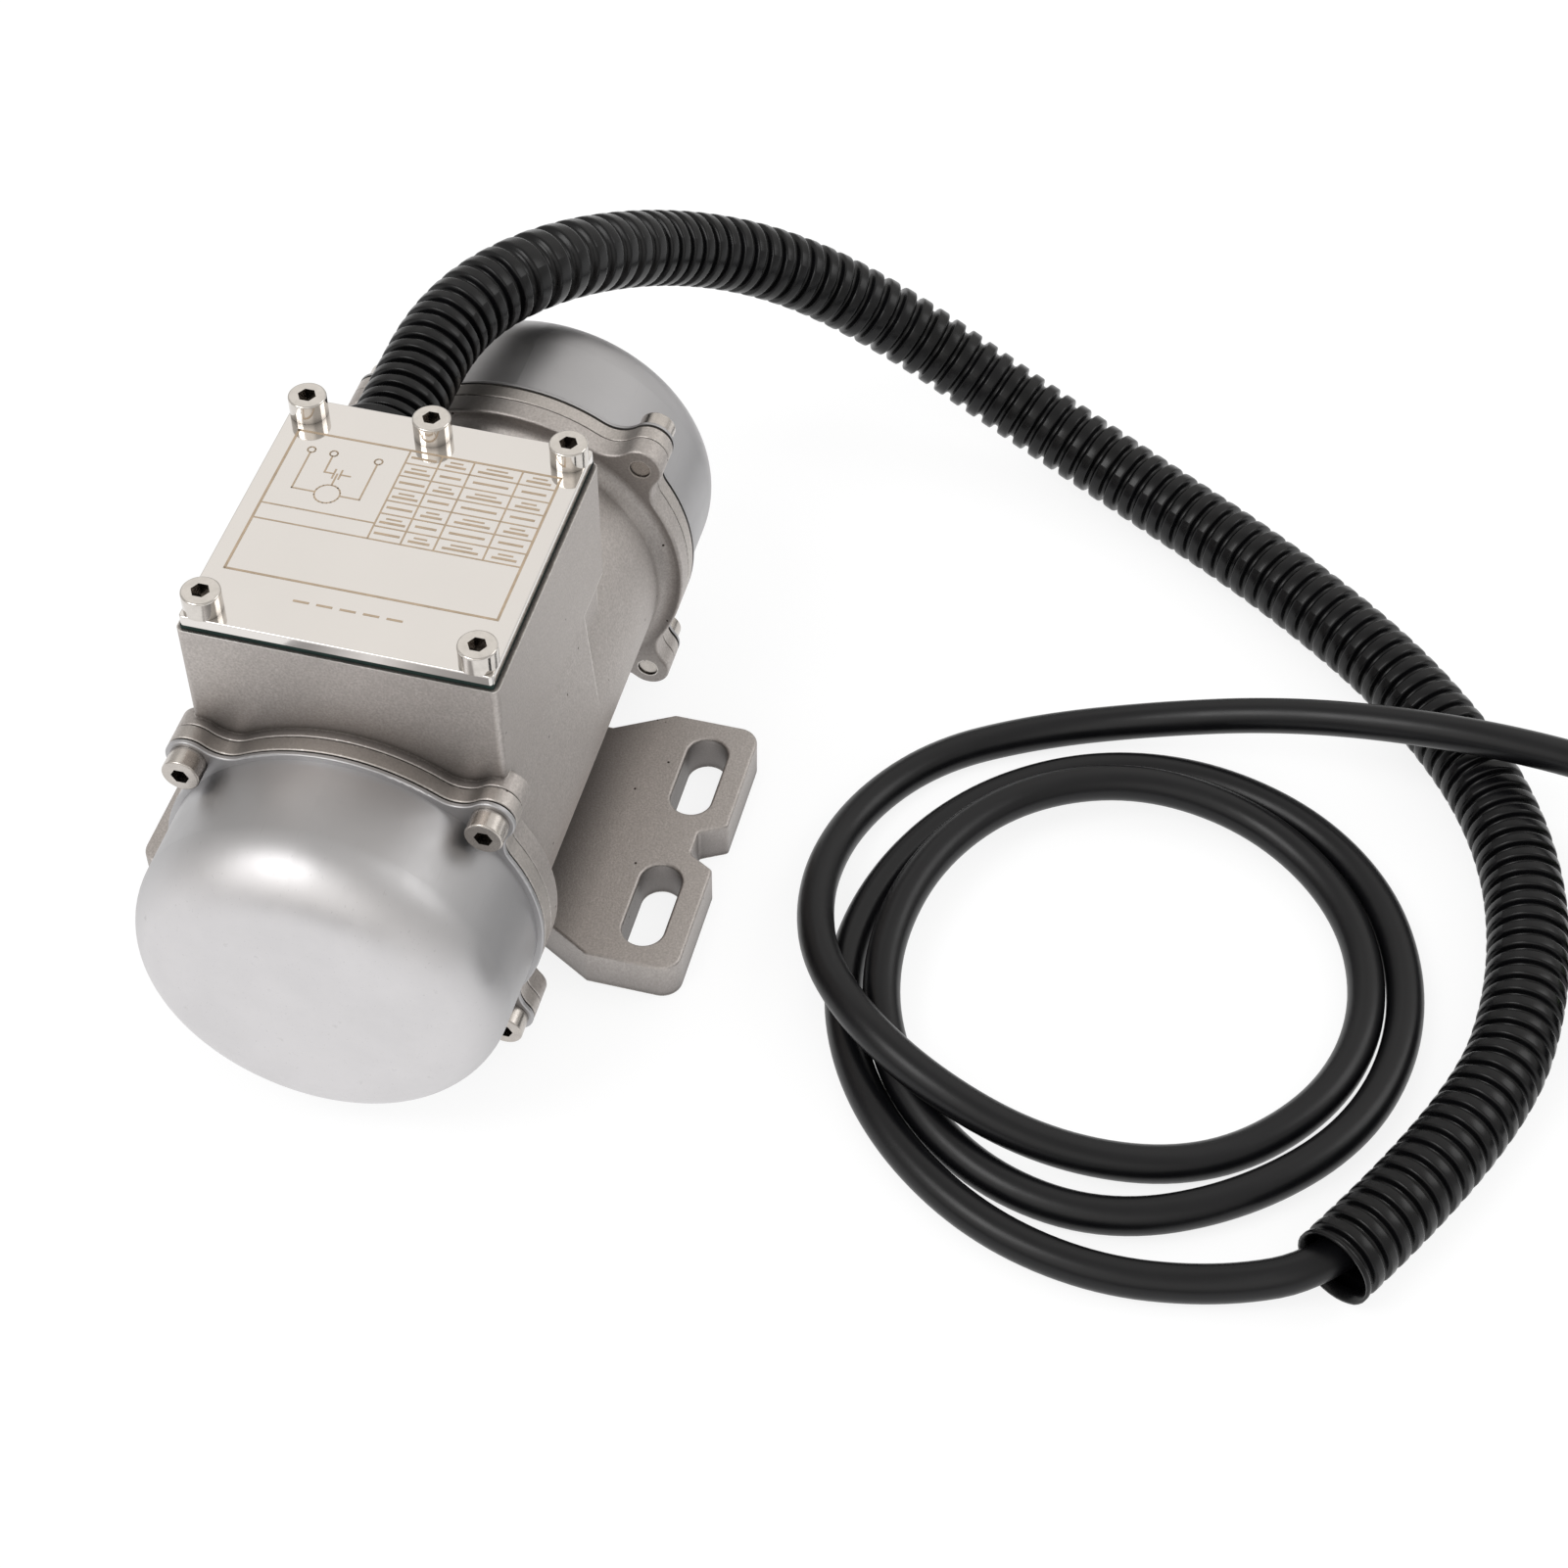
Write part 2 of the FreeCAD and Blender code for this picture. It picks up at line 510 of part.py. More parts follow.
# ---- body casting -----------------------------------------------------------
def foot_plate():
    """Base plate with both feet: waisted, notched and slotted."""
    half = FOOT_LENGTH / 2
    reach = FOOT_SPAN / 2
    waist = FOOT_WAIST / 2
    outline = []
    for side in (-1, 1):
        run = [
            (-waist * side, FOOT_WAIST_START * side), (-half * side, FOOT_WAIST_END * side),
            (-half * side, reach * side), (-NOTCH_MOUTH / 2 * side, reach * side),
            (-NOTCH_FLOOR / 2 * side, (reach - NOTCH_DEPTH) * side),
            (NOTCH_FLOOR / 2 * side, (reach - NOTCH_DEPTH) * side),
            (NOTCH_MOUTH / 2 * side, reach * side), (half * side, reach * side),
            (half * side, FOOT_WAIST_END * side), (waist * side, FOOT_WAIST_START * side),
        ]
        outline += run
    plate = prism([(x, y, 0) for x, y in outline], Z_AXIS * FOOT_THICKNESS)
    corners = lambda e, m: along(e, Z_AXIS) and abs(m.x) > half - 0.1 and abs(m.y) > reach - 0.1
    plate = rounded(plate, FOOT_CORNER_RADIUS, corners)
    soft = lambda e, m: along(e, Z_AXIS) and abs(m.y) > FOOT_WAIST_END - 0.1
    plate = rounded(plate, FOOT_EDGE, soft)
    slots = []
    for sx in (-1, 1):
        for sy in (-1, 1):
            slots.append(slot_cutter(sx * SLOT_SPACING_ALONG / 2, sy * SLOT_SPACING_ACROSS / 2))
    plate = plate.cut(group(slots))
    rim = lambda e, m: m.z > FOOT_THICKNESS - 0.01 and abs(m.y) > FOOT_WAIST_START - 0.1
    plate = rounded(plate, FOOT_RIM, rim)
    relief = block(-FOOT_LENGTH, FOOT_LENGTH, -BASE_RELIEF_WIDTH / 2, BASE_RELIEF_WIDTH / 2,
                   -1, BASE_RELIEF_DEPTH)
    return plate.cut(relief)


def slot_cutter(x, y):
    """Round-ended slot along X, through the foot."""
    straight = (SLOT_LENGTH - SLOT_WIDTH) / 2
    radius = SLOT_WIDTH / 2
    body = block(x - straight, x + straight, y - radius, y + radius, -1, FOOT_THICKNESS + 1)
    ends = [cylinder_z(radius, -1, FOOT_THICKNESS + 1, x + s * straight, y) for s in (-1, 1)]
    return fused([body] + ends)


def body_tube():
    """Turned tube of the body with a hollow root at each end flange."""
    inner = FACE_X - FLANGE_THICKNESS
    root = FLANGE_ROOT_FILLET
    points = [Vec(-FACE_X, 0, SHAFT_HEIGHT), Vec(-FACE_X, 0, SHAFT_HEIGHT + BODY_RADIUS + root)]
    edges = [Part.LineSegment(points[0], points[1]).toShape()]
    start = Vec(-inner, 0, SHAFT_HEIGHT + BODY_RADIUS + root)
    edges.append(Part.LineSegment(points[1], start).toShape())
    end = Vec(-inner + root, 0, SHAFT_HEIGHT + BODY_RADIUS)
    bow = root * (1 - math.sqrt(0.5))
    middle = Vec(-inner + bow, 0, SHAFT_HEIGHT + BODY_RADIUS + bow)
    edges.append(Part.Arc(start, middle, end).toShape())
    far_end = Vec(inner - root, 0, SHAFT_HEIGHT + BODY_RADIUS)
    edges.append(Part.LineSegment(end, far_end).toShape())
    far_start = Vec(inner, 0, SHAFT_HEIGHT + BODY_RADIUS + root)
    far_middle = Vec(inner - bow, 0, SHAFT_HEIGHT + BODY_RADIUS + bow)
    edges.append(Part.Arc(far_end, far_middle, far_start).toShape())
    corner = Vec(FACE_X, 0, SHAFT_HEIGHT + BODY_RADIUS + root)
    base = Vec(FACE_X, 0, SHAFT_HEIGHT)
    edges.append(Part.LineSegment(far_start, corner).toShape())
    edges.append(Part.LineSegment(corner, base).toShape())
    edges.append(Part.LineSegment(base, points[0]).toShape())
    face = Part.Face(Part.Wire(edges))
    return face.revolve(Vec(0, 0, SHAFT_HEIGHT), X_AXIS, 360)


def body_flange():
    """End flange of the casting at the front, with soft outer edges."""
    plate = eared_plate(-FACE_X, -FACE_X + FLANGE_THICKNESS)
    back = lambda e, m: m.x > -FACE_X + FLANGE_THICKNESS - 0.01
    plate = rounded(plate, CAST_EDGE, back)
    return rounded(plate, SEAM_EDGE, lambda e, m: m.x < -FACE_X + 0.01)


def box_shell():
    """Outer block of the terminal box and the shoulders that lean to the body."""
    shell = block(BOX_FRONT, BOX_REAR, -BOX_HALF, BOX_HALF, SHAFT_HEIGHT + BOX_ROOT, BOX_TOP)
    shell = rounded(shell, BOX_CORNER_RADIUS, lambda e, m: along(e, Z_AXIS))
    distance = math.hypot(BOX_HALF, SHOULDER_HEIGHT)
    tangent = math.atan2(SHOULDER_HEIGHT, BOX_HALF) - math.acos(BODY_RADIUS / distance)
    foot = (BODY_RADIUS * math.cos(tangent), SHAFT_HEIGHT + BODY_RADIUS * math.sin(tangent))
    outline = [(-BOX_HALF, SHOULDER_TOP), (BOX_HALF, SHOULDER_TOP), foot,
               (0, SHAFT_HEIGHT), (-foot[0], foot[1])]
    front = -FACE_X + FLANGE_THICKNESS / 2
    wedge = prism([(front, y, z) for y, z in outline], X_AXIS * (SHOULDER_REAR - front))
    lean = [(SHOULDER_REAR - SHOULDER_LEAN, SHAFT_HEIGHT), (SHOULDER_REAR + 1, SHAFT_HEIGHT),
            (SHOULDER_REAR + 1, SHOULDER_TOP + 1), (SHOULDER_REAR, SHOULDER_TOP + 1)]
    cutter = prism([(x, -BOX_WIDTH, z) for x, z in lean], Y_AXIS * (2 * BOX_WIDTH))
    hollow = block(SHOULDER_REAR - SHOULDER_LEAN, BOX_REAR + 1, BOX_HALF - POCKET_DEPTH, BOX_HALF + 1,
                   SHAFT_HEIGHT, SHOULDER_TOP)
    hollows = group([hollow, hollow.mirror(Vec(0, 0, 0), Y_AXIS)])
    return shell.cut(hollows), wedge.cut(cutter)


def box_cavity():
    """Room inside the terminal box, down to the body's tube."""
    room = block(BOX_FRONT + BOX_WALL, WALL_INNER_X, -BOX_HALF + BOX_WALL, BOX_HALF - BOX_WALL,
                 BOX_FLOOR, BOX_TOP + 1)
    return room.cut(cylinder_x(BODY_RADIUS, BOX_FRONT - 1, BOX_REAR + 1))


def box_bosses():
    """Posts in the box: lid screws, terminal pad, lead hole, earth screw, cable clamp."""
    posts = [cylinder_z(LID_BOSS_RADIUS, BOX_TOP - LID_BOSS_DEPTH, BOX_TOP, x, y)
             for x, y in lid_screw_places()]
    half = TERMINAL_PAD_LENGTH / 2
    across = TERMINAL_PAD_WIDTH / 2
    posts.append(block(TERMINAL_PAD_X - half, TERMINAL_PAD_X + half, -across, across,
                       SHAFT_HEIGHT + BOX_ROOT, TERMINAL_PAD_TOP))
    posts.append(cylinder_z(LEAD_BOSS_RADIUS, POST_BASE, LEAD_BOSS_TOP, LEAD_HOLE_X, 0))
    posts.append(cylinder_z(EARTH_BOSS_RADIUS, SHAFT_HEIGHT + BOX_ROOT, EARTH_BOSS_TOP,
                            EARTH_BOSS_X, EARTH_BOSS_Y))
    clamp_top = OUTLET_Z - CABLE_RADIUS - SEAT_GAP
    posts.append(block(CLAMP_X - CLAMP_WIDTH / 2, CLAMP_X + CLAMP_WIDTH / 2,
                       OUTLET_Y - CLAMP_SPAN / 2, OUTLET_Y + CLAMP_SPAN / 2,
                       SHAFT_HEIGHT + BOX_ROOT, clamp_top))
    return posts


def housing():
    """The body casting: tube, two eared flanges, feet and open terminal box."""
    flange = body_flange()
    shell, wedge = box_shell()
    room = box_cavity()
    within = block(BOX_FRONT + 1, BOX_REAR - 1, -BOX_HALF + 1, BOX_HALF - 1, 0, BOX_TOP)
    posts = [post.common(within) for post in box_bosses()]
    body = fused([body_tube(), flange, mirrored_end(flange), foot_plate(), wedge, shell]).cut(room)
    body = fused([body] + posts)
    body = body.cut(cylinder_x(BORE_RADIUS, -FACE_X - 1, FACE_X + 1))
    tap_end = -FACE_X + FLANGE_THICKNESS + DRILL_SPARE
    taps = [cylinder_x(SCREW_RADIUS + THREAD_FIT, -FACE_X - 1, tap_end, y, z) for y, z in ear_places()]
    cuts = taps + [mirrored_end(tap) for tap in taps]
    cuts += [cylinder_z(SCREW_RADIUS + THREAD_FIT, BOX_TOP - LID_TAP_DEPTH, BOX_TOP + 1, x, y)
             for x, y in lid_screw_places()]
    cuts.append(cylinder_z(LEAD_HOLE_RADIUS, SHAFT_HEIGHT, LEAD_BOSS_TOP + 1, LEAD_HOLE_X, 0))
    cuts.append(cylinder_z(SCREW_RADIUS + THREAD_FIT, EARTH_BOSS_TOP - EARTH_SCREW_LENGTH - DRILL_SPARE,
                           EARTH_BOSS_TOP + 1, EARTH_BOSS_X, EARTH_BOSS_Y))
    cuts.append(cylinder_x(COLLAR_RADIUS - COLLAR_NECK + SEAT_GAP, WALL_INNER_X - 1, BOX_REAR + 1,
                           OUTLET_Y, OUTLET_Z))
    clamp_base = OUTLET_Z - CABLE_RADIUS - CLAMP_SCREW_DEPTH - DRILL_SPARE
    cuts += [cylinder_z(CLAMP_SCREW_RADIUS + THREAD_FIT, clamp_base, OUTLET_Z, CLAMP_X, y)
             for y in clamp_screw_places()]
    fixing_base = TERMINAL_PAD_TOP - FIXING_DEPTH - DRILL_SPARE
    cuts += [cylinder_z(FIXING_RADIUS + THREAD_FIT, fixing_base, TERMINAL_PAD_TOP + 1, TERMINAL_PAD_X, y)
             for y in fixing_places()]
    return body.cut(group(cuts))


# ---- end shields, gaskets and covers at the front end -----------------------
def end_shield():
    """Front end shield: eared plate, spigot, web and bearing hub."""
    plate = eared_plate(-SHIELD_X, -FACE_X - SEAT_GAP)
    rim = lambda e, m: m.x < -SHIELD_X + 0.01
    plate = rounded(plate, SHIELD_EDGE, rim)
    plate = rounded(plate, SEAM_EDGE, lambda e, m: m.x > -FACE_X - SEAT_GAP - 0.01)
    spigot_radius = BORE_RADIUS - RUNNING_FIT
    spigot = cylinder_x(spigot_radius, -FACE_X - SEAT_GAP - 0.5, -FACE_X + SPIGOT_LENGTH)
    spigot = spigot.cut(cylinder_x(spigot_radius - SPIGOT_WALL, -FACE_X, -FACE_X + SPIGOT_LENGTH + 1))
    web = cylinder_x(spigot_radius - 1, -SHIELD_X, -SHIELD_X + SHIELD_WEB)
    hub = cylinder_x(HUB_RADIUS, -SHIELD_X, -SHIELD_X + HUB_LENGTH)
    hub = rounded(hub, HUB_EDGE, lambda e, m: m.x > -SHIELD_X + HUB_LENGTH - 0.01)
    shield = fused([plate, spigot, web, hub])
    shield = drill_ears(shield, SCREW_RADIUS + SCREW_CLEARANCE, -SHIELD_X - 1, -FACE_X + 1)
    seat = cylinder_x(BEARING_RADIUS + SEAT_GAP, -BEARING_OUTER_X, 0)
    opening = cylinder_x(BEARING_RADIUS - SHIELD_OPENING_STEP, -SHIELD_X - 1, 0)
    return shield.cut(group([seat, opening]))


def cover_gasket():
    """Front cover gasket: thin eared ring."""
    ring = eared_plate(-GASKET_X + SEAT_GAP, -SHIELD_X - SEAT_GAP,
                       FLANGE_RADIUS - GASKET_INSET, EAR_RADIUS - GASKET_INSET)
    ring = ring.cut(cylinder_x(COVER_RADIUS - GASKET_BREADTH, -GASKET_X - 1, -SHIELD_X + 1))
    return drill_ears(ring, SCREW_RADIUS + SCREW_CLEARANCE, -GASKET_X - 1, -SHIELD_X + 1)


def end_cover():
    """Front drawn cover: round cup with a deep corner and a thin eared flange."""
    end = COVER_X + COVER_DEPTH
    cup = cylinder_x(COVER_RADIUS, -end, -GASKET_X)
    cup = rounded(cup, COVER_CORNER, lambda e, m: m.x < -end + 0.01)
    flange = eared_plate(-COVER_X, -GASKET_X)
    flange = rounded(flange, COVER_EDGE, lambda e, m: m.x < -COVER_X + 0.01)
    hollow = cylinder_x(COVER_RADIUS - COVER_WALL, -end + COVER_WALL, -GASKET_X + 1)
    hollow = rounded(hollow, COVER_CORNER - COVER_WALL, lambda e, m: m.x < -end + COVER_WALL + 0.01)
    cover = fused([cup, flange]).cut(hollow)
    return drill_ears(cover, SCREW_RADIUS + SCREW_CLEARANCE, -COVER_X - 1, -GASKET_X + 1)


def end_screws():
    """Four front cover screws, through cover and shield into the body flange."""
    grip = COVER_X - FACE_X + FLANGE_THICKNESS + END_SCREW_TIP
    return group([socket_screw(Vec(-COVER_X - SEAT_GAP, y, z), X_AXIS * -1, grip) for y, z in ear_places()])


# ---- lid --------------------------------------------------------------------
def lid():
    """Flat lid plate with five screw holes."""
    half = LID_WIDTH / 2
    plate = block(LID_FRONT, BOX_REAR, -half, half, LID_UNDERSIDE, LID_TOP)
    plate = rounded(plate, LID_CORNER_RADIUS, lambda e, m: along(e, Z_AXIS))
    plate = rounded(plate, LID_EDGE, lambda e, m: m.z > LID_TOP - 0.01)
    radius = SCREW_RADIUS + SCREW_CLEARANCE
    return plate.cut(group([cylinder_z(radius, LID_UNDERSIDE - 1, LID_TOP + 1, x, y)
                            for x, y in lid_screw_places()]))


def lid_gasket():
    """Flat gasket under the lid, widened round the screws."""
    half = LID_WIDTH / 2 - LID_GASKET_TRIM
    low = BOX_TOP + SEAT_GAP
    high = LID_UNDERSIDE - SEAT_GAP
    width = LID_GASKET_WIDTH
    sheet = block(LID_FRONT + LID_GASKET_TRIM, BOX_REAR - LID_GASKET_TRIM, -half, half, low, high)
    window = block(LID_FRONT + width, BOX_REAR - width, -half + width, half - width, low - 1, high + 1)
    pads = [cylinder_z(LID_BOSS_RADIUS, low, high, x, y) for x, y in lid_screw_places()]
    ring = fused([sheet.cut(window)] + [pad.common(sheet) for pad in pads])
    radius = SCREW_RADIUS + SCREW_CLEARANCE
    return ring.cut(group([cylinder_z(radius, low - 1, high + 1, x, y) for x, y in lid_screw_places()]))


def lid_screws():
    """Five lid screws."""
    return group([socket_screw(Vec(x, y, LID_TOP + SEAT_GAP), Z_AXIS, LID_SCREW_LENGTH)
                  for x, y in lid_screw_places()])


# ---- bearings, at the front end ---------------------------------------------
def bearing_centre():
    """Distance of the front bearing's middle plane from the motor's middle."""
    return BEARING_OUTER_X - SEAT_GAP - BEARING_WIDTH / 2


def race_groove(x):
    """Ring-shaped cutter of the ball track at x."""
    return Part.makeTorus(BALL_CIRCLE, BALL_RADIUS + RACE_CLEARANCE, Vec(x, 0, SHAFT_HEIGHT), X_AXIS)


def bearing_ring(x, inner, outer):
    """One race of a bearing centred at x."""
    half = BEARING_WIDTH / 2
    ring = cylinder_x(outer, x - half, x + half).cut(cylinder_x(inner, x - half - 1, x + half + 1))
    ring = ring.cut(race_groove(x))
    corner = outer if outer > BALL_CIRCLE else inner
    soft = lambda e, m: math.hypot(m.y, m.z - SHAFT_HEIGHT) > corner - 0.01 and \
        math.hypot(m.y, m.z - SHAFT_HEIGHT) < corner + 0.01 and abs(abs(m.x - x) - half) < 0.01
    return rounded(ring, BEARING_EDGE, soft)


def bearing_balls(x):
    """The balls of a bearing centred at x."""
    ball = Part.makeSphere(BALL_RADIUS, Vec(x, 0, SHAFT_HEIGHT + BALL_CIRCLE))
    return group([turned_about_shaft(ball, 360 * n / BALL_COUNT) for n in range(BALL_COUNT)])


def bearing_cage(x):
    """Ball cage: a ring with one round pocket for each ball."""
    half = CAGE_WIDTH / 2
    ring = cylinder_x(BALL_CIRCLE + CAGE_HALF_WALL, x - half, x + half)
    ring = ring.cut(cylinder_x(BALL_CIRCLE - CAGE_HALF_WALL, x - half - 1, x + half + 1))
    pocket = cylinder_z(BALL_RADIUS + RACE_CLEARANCE, SHAFT_HEIGHT + BEARING_BORE,
                        SHAFT_HEIGHT + BEARING_RADIUS, x, 0)
    return ring.cut(group([turned_about_shaft(pocket, 360 * n / BALL_COUNT) for n in range(BALL_COUNT)]))


def bearing_seals(x):
    """Two thin side seals, held by the outer ring."""
    discs = []
    for side in (-1, 1):
        outer_face = x + side * (BEARING_WIDTH / 2 - SEAL_INSET)
        low, high = sorted((outer_face, outer_face - side * SEAL_THICKNESS))
        disc = cylinder_x(OUTER_LAND_RADIUS - SEAT_GAP, low, high)
        discs.append(disc.cut(cylinder_x(INNER_LAND_RADIUS + SEAL_GAP, low - 1, high + 1)))
    return group(discs)


def wave_spring():
    """Spring ring between the rear bearing and its hub's lip, waved along X."""
    outer = BEARING_RADIUS - WAVE_SPRING_INSET
    inner = outer - WAVE_SPRING_BREADTH
    middle = BEARING_OUTER_X - WAVE_SPRING / 2
    half = WAVE_SPRING_THICKNESS / 2
    ring = cylinder_x(outer, middle - half, middle + half)
    ring = ring.cut(cylinder_x(inner, middle - 2, middle + 2))
    lift = (WAVE_SPRING - WAVE_SPRING_THICKNESS) / 2 - SEAT_GAP
    ridges = []
    sector = block(middle - 2, middle + 2, -2 * WAVE_SPRING_BREADTH, 2 * WAVE_SPRING_BREADTH,
                   SHAFT_HEIGHT, SHAFT_HEIGHT + BEARING_RADIUS)
    for wave in range(WAVE_COUNT):
        for side in (-1, 1):
            low, high = sorted((middle, middle + side * (half + lift)))
            crest = cylinder_x(outer, low, high).cut(cylinder_x(inner, middle - 2, middle + 2))
            half_wave = 180 / WAVE_COUNT
            turned = turned_about_shaft(sector, half_wave * (2 * wave + (1 if side > 0 else 0)))
            ridges.append(crest.common(turned))
    return fused([ring] + ridges)


# ---- stator and rotor -------------------------------------------------------
def radial_bar(x_half, low, high, breadth):
    """Straight bar along X, standing above the shaft between two radii."""
    return block(-x_half, x_half, -breadth / 2, breadth / 2, SHAFT_HEIGHT + low, SHAFT_HEIGHT + high)


def stator_core():
    """Laminated stator pack with open slots."""
    half = CORE_LENGTH / 2
    core = cylinder_x(STATOR_RADIUS, -half, half).cut(cylinder_x(STATOR_INNER, -half - 1, half + 1))
    slot = fused([radial_bar(half + 1, SLOT_TOP, SLOT_BOTTOM, SLOT_BREADTH),
                  radial_bar(half + 1, STATOR_INNER - 1, SLOT_TOP + 1, SLOT_OPENING)])
    return core.cut(group([turned_about_shaft(slot, 360 * n / SLOT_COUNT) for n in range(SLOT_COUNT)]))


def end_winding(side):
    """Bundled coil ends on one side of the stator, rounded like a lashed bundle."""
    near = CORE_LENGTH / 2 + COIL_GAP
    ring = cylinder_x(COIL_OUTER, near, near + COIL_OVERHANG)
    ring = ring.cut(cylinder_x(COIL_INNER, near - 1, near + COIL_OVERHANG + 1))
    ring = rounded(ring, COIL_EDGE, lambda e, m: m.x > near + COIL_OVERHANG - 0.01)
    return ring if side > 0 else mirrored_end(ring)


def stator_windings():
    """Coil sides in the slots and the two end windings."""
    reach = CORE_LENGTH / 2 + COIL_GAP + 1
    gap = COIL_CLEARANCE
    low = SLOT_TOP + gap + WEDGE_HEIGHT
    side = radial_bar(reach, low, SLOT_BOTTOM - gap, SLOT_BREADTH - 2 * gap)
    sides = [turned_about_shaft(side, 360 * n / SLOT_COUNT) for n in range(SLOT_COUNT)]
    return fused([end_winding(-1), end_winding(1)] + sides)


def cage_bar_places():
    """Angles of the rotor bars."""
    return [360 * n / BAR_COUNT for n in range(BAR_COUNT)]


def rotor_core():
    """Laminated rotor pack, bored for its bars and the shaft."""
    half = CORE_LENGTH / 2
    core = cylinder_x(ROTOR_RADIUS, -half, half)
    core = core.cut(cylinder_x(CORE_SEAT_RADIUS + SEAT_GAP, -half - 1, half + 1))
    hole = cylinder_x(BAR_RADIUS + RUNNING_FIT, -half - 1, half + 1, 0, SHAFT_HEIGHT + BAR_CIRCLE)
    return core.cut(group([turned_about_shaft(hole, angle) for angle in cage_bar_places()]))


def rotor_cage():
    """Cast rotor cage: bars through the pack and a ring at each end."""
    half = CORE_LENGTH / 2 + SEAT_GAP
    rings = []
    for side in (-1, 1):
        low, high = sorted((side * half, side * (half + END_RING_LENGTH)))
        outer = ROTOR_RADIUS - END_RING_STEP
        ring = cylinder_x(outer, low, high)
        rings.append(ring.cut(cylinder_x(outer - END_RING_BREADTH, low - 1, high + 1)))
    bar = cylinder_x(BAR_RADIUS, -half - 1, half + 1, 0, SHAFT_HEIGHT + BAR_CIRCLE)
    return fused(rings + [turned_about_shaft(bar, angle) for angle in cage_bar_places()])


def shaft():
    """Stepped shaft with a keyway and a circlip groove at each end."""
    rear_seat = bearing_centre() - WAVE_SPRING - BEARING_WIDTH / 2 - SEAT_GAP
    front_seat = bearing_centre() - BEARING_WIDTH / 2 - SEAT_GAP
    step = WEIGHT_START - SEAT_GAP
    end = CIRCLIP_START + CIRCLIP_THICKNESS + SHAFT_END
    core = CORE_LENGTH / 2 + CORE_SEAT_OVERHANG
    groove_low = CIRCLIP_START - SEAT_GAP
    groove_high = CIRCLIP_START + CIRCLIP_THICKNESS + SEAT_GAP
    bearing_seat = BEARING_BORE - SEAT_GAP
    half = [(core, CORE_SEAT_RADIUS), (core, SHOULDER_RADIUS), (rear_seat, SHOULDER_RADIUS),
            (rear_seat, bearing_seat), (step, bearing_seat), (step, WEIGHT_SEAT_RADIUS),
            (groove_low, WEIGHT_SEAT_RADIUS), (groove_low, CIRCLIP_GROOVE), (groove_high, CIRCLIP_GROOVE),
            (groove_high, WEIGHT_SEAT_RADIUS), (end - SHAFT_CHAMFER, WEIGHT_SEAT_RADIUS),
            (end, WEIGHT_SEAT_RADIUS - SHAFT_CHAMFER)]
    other = [(front_seat if x == rear_seat else x, r) for x, r in half]
    profile = [(-end, 0)] + [(-x, r) for x, r in reversed(other)] + half + [(end, 0)]
    bar = revolved(profile)
    keyways = []
    for side in (-1, 1):
        low, high = sorted((side * WEIGHT_START, side * (WEIGHT_START + WEIGHT_THICKNESS)))
        width = KEY_WIDTH / 2 + SEAT_GAP
        floor = SHAFT_HEIGHT + WEIGHT_SEAT_RADIUS - KEY_DEPTH - SEAT_GAP
        keyways.append(block(low, high, -width, width, floor, floor + KEY_HEIGHT))
    return bar.cut(group(keyways))


# ---- eccentric weights, at the front end ------------------------------------
def weight_blank(start):
    """Half-disc weight hanging below the shaft, with a round hub."""
    low = -start - WEIGHT_THICKNESS
    disc = cylinder_x(WEIGHT_RADIUS, low, -start)
    lower = block(low - 1, -start + 1, -WEIGHT_RADIUS - 1, WEIGHT_RADIUS + 1, 0, SHAFT_HEIGHT)
    weight = fused([disc.common(lower), cylinder_x(WEIGHT_HUB_RADIUS, low, -start)])
    return weight.cut(cylinder_x(WEIGHT_SEAT_RADIUS + RUNNING_FIT, low - 1, -start + 1))


def fixed_weight():
    """Inner weight, keyed to the shaft."""
    width = KEY_WIDTH / 2 + SEAT_GAP
    top = SHAFT_HEIGHT + WEIGHT_SEAT_RADIUS - KEY_DEPTH + KEY_HEIGHT + SEAT_GAP
    keyway = block(-WEIGHT_START - WEIGHT_THICKNESS - 1, -WEIGHT_START + 1, -width, width, SHAFT_HEIGHT, top)
    return weight_blank(WEIGHT_START).cut(keyway)


def adjustable_weight():
    """Outer weight, turned on the shaft to set the force, with a tapped grub screw hole."""
    middle = -ADJUSTABLE_START - WEIGHT_THICKNESS / 2
    hole = cylinder_z(GRUB_RADIUS + THREAD_FIT, SHAFT_HEIGHT, SHAFT_HEIGHT + WEIGHT_HUB_RADIUS + 1, middle, 0)
    return weight_blank(ADJUSTABLE_START).cut(hole)


def weight_key():
    """Square key of the inner weight."""
    low = -WEIGHT_START - WEIGHT_THICKNESS + SEAT_GAP
    base = SHAFT_HEIGHT + WEIGHT_SEAT_RADIUS - KEY_DEPTH
    return block(low, -WEIGHT_START - SEAT_GAP, -KEY_WIDTH / 2, KEY_WIDTH / 2, base, base + KEY_HEIGHT)


def grub_screw():
    """Socket set screw that clamps the outer weight on the shaft."""
    middle = -ADJUSTABLE_START - WEIGHT_THICKNESS / 2
    base = SHAFT_HEIGHT + WEIGHT_SEAT_RADIUS + RUNNING_FIT
    top = SHAFT_HEIGHT + WEIGHT_HUB_RADIUS - GRUB_SINK
    screw = cylinder_z(GRUB_RADIUS, base, top, middle, 0)
    return screw.cut(hex_prism(GRUB_HEX, GRUB_HEX_DEPTH + 1, Vec(middle, 0, top - GRUB_HEX_DEPTH), Z_AXIS))


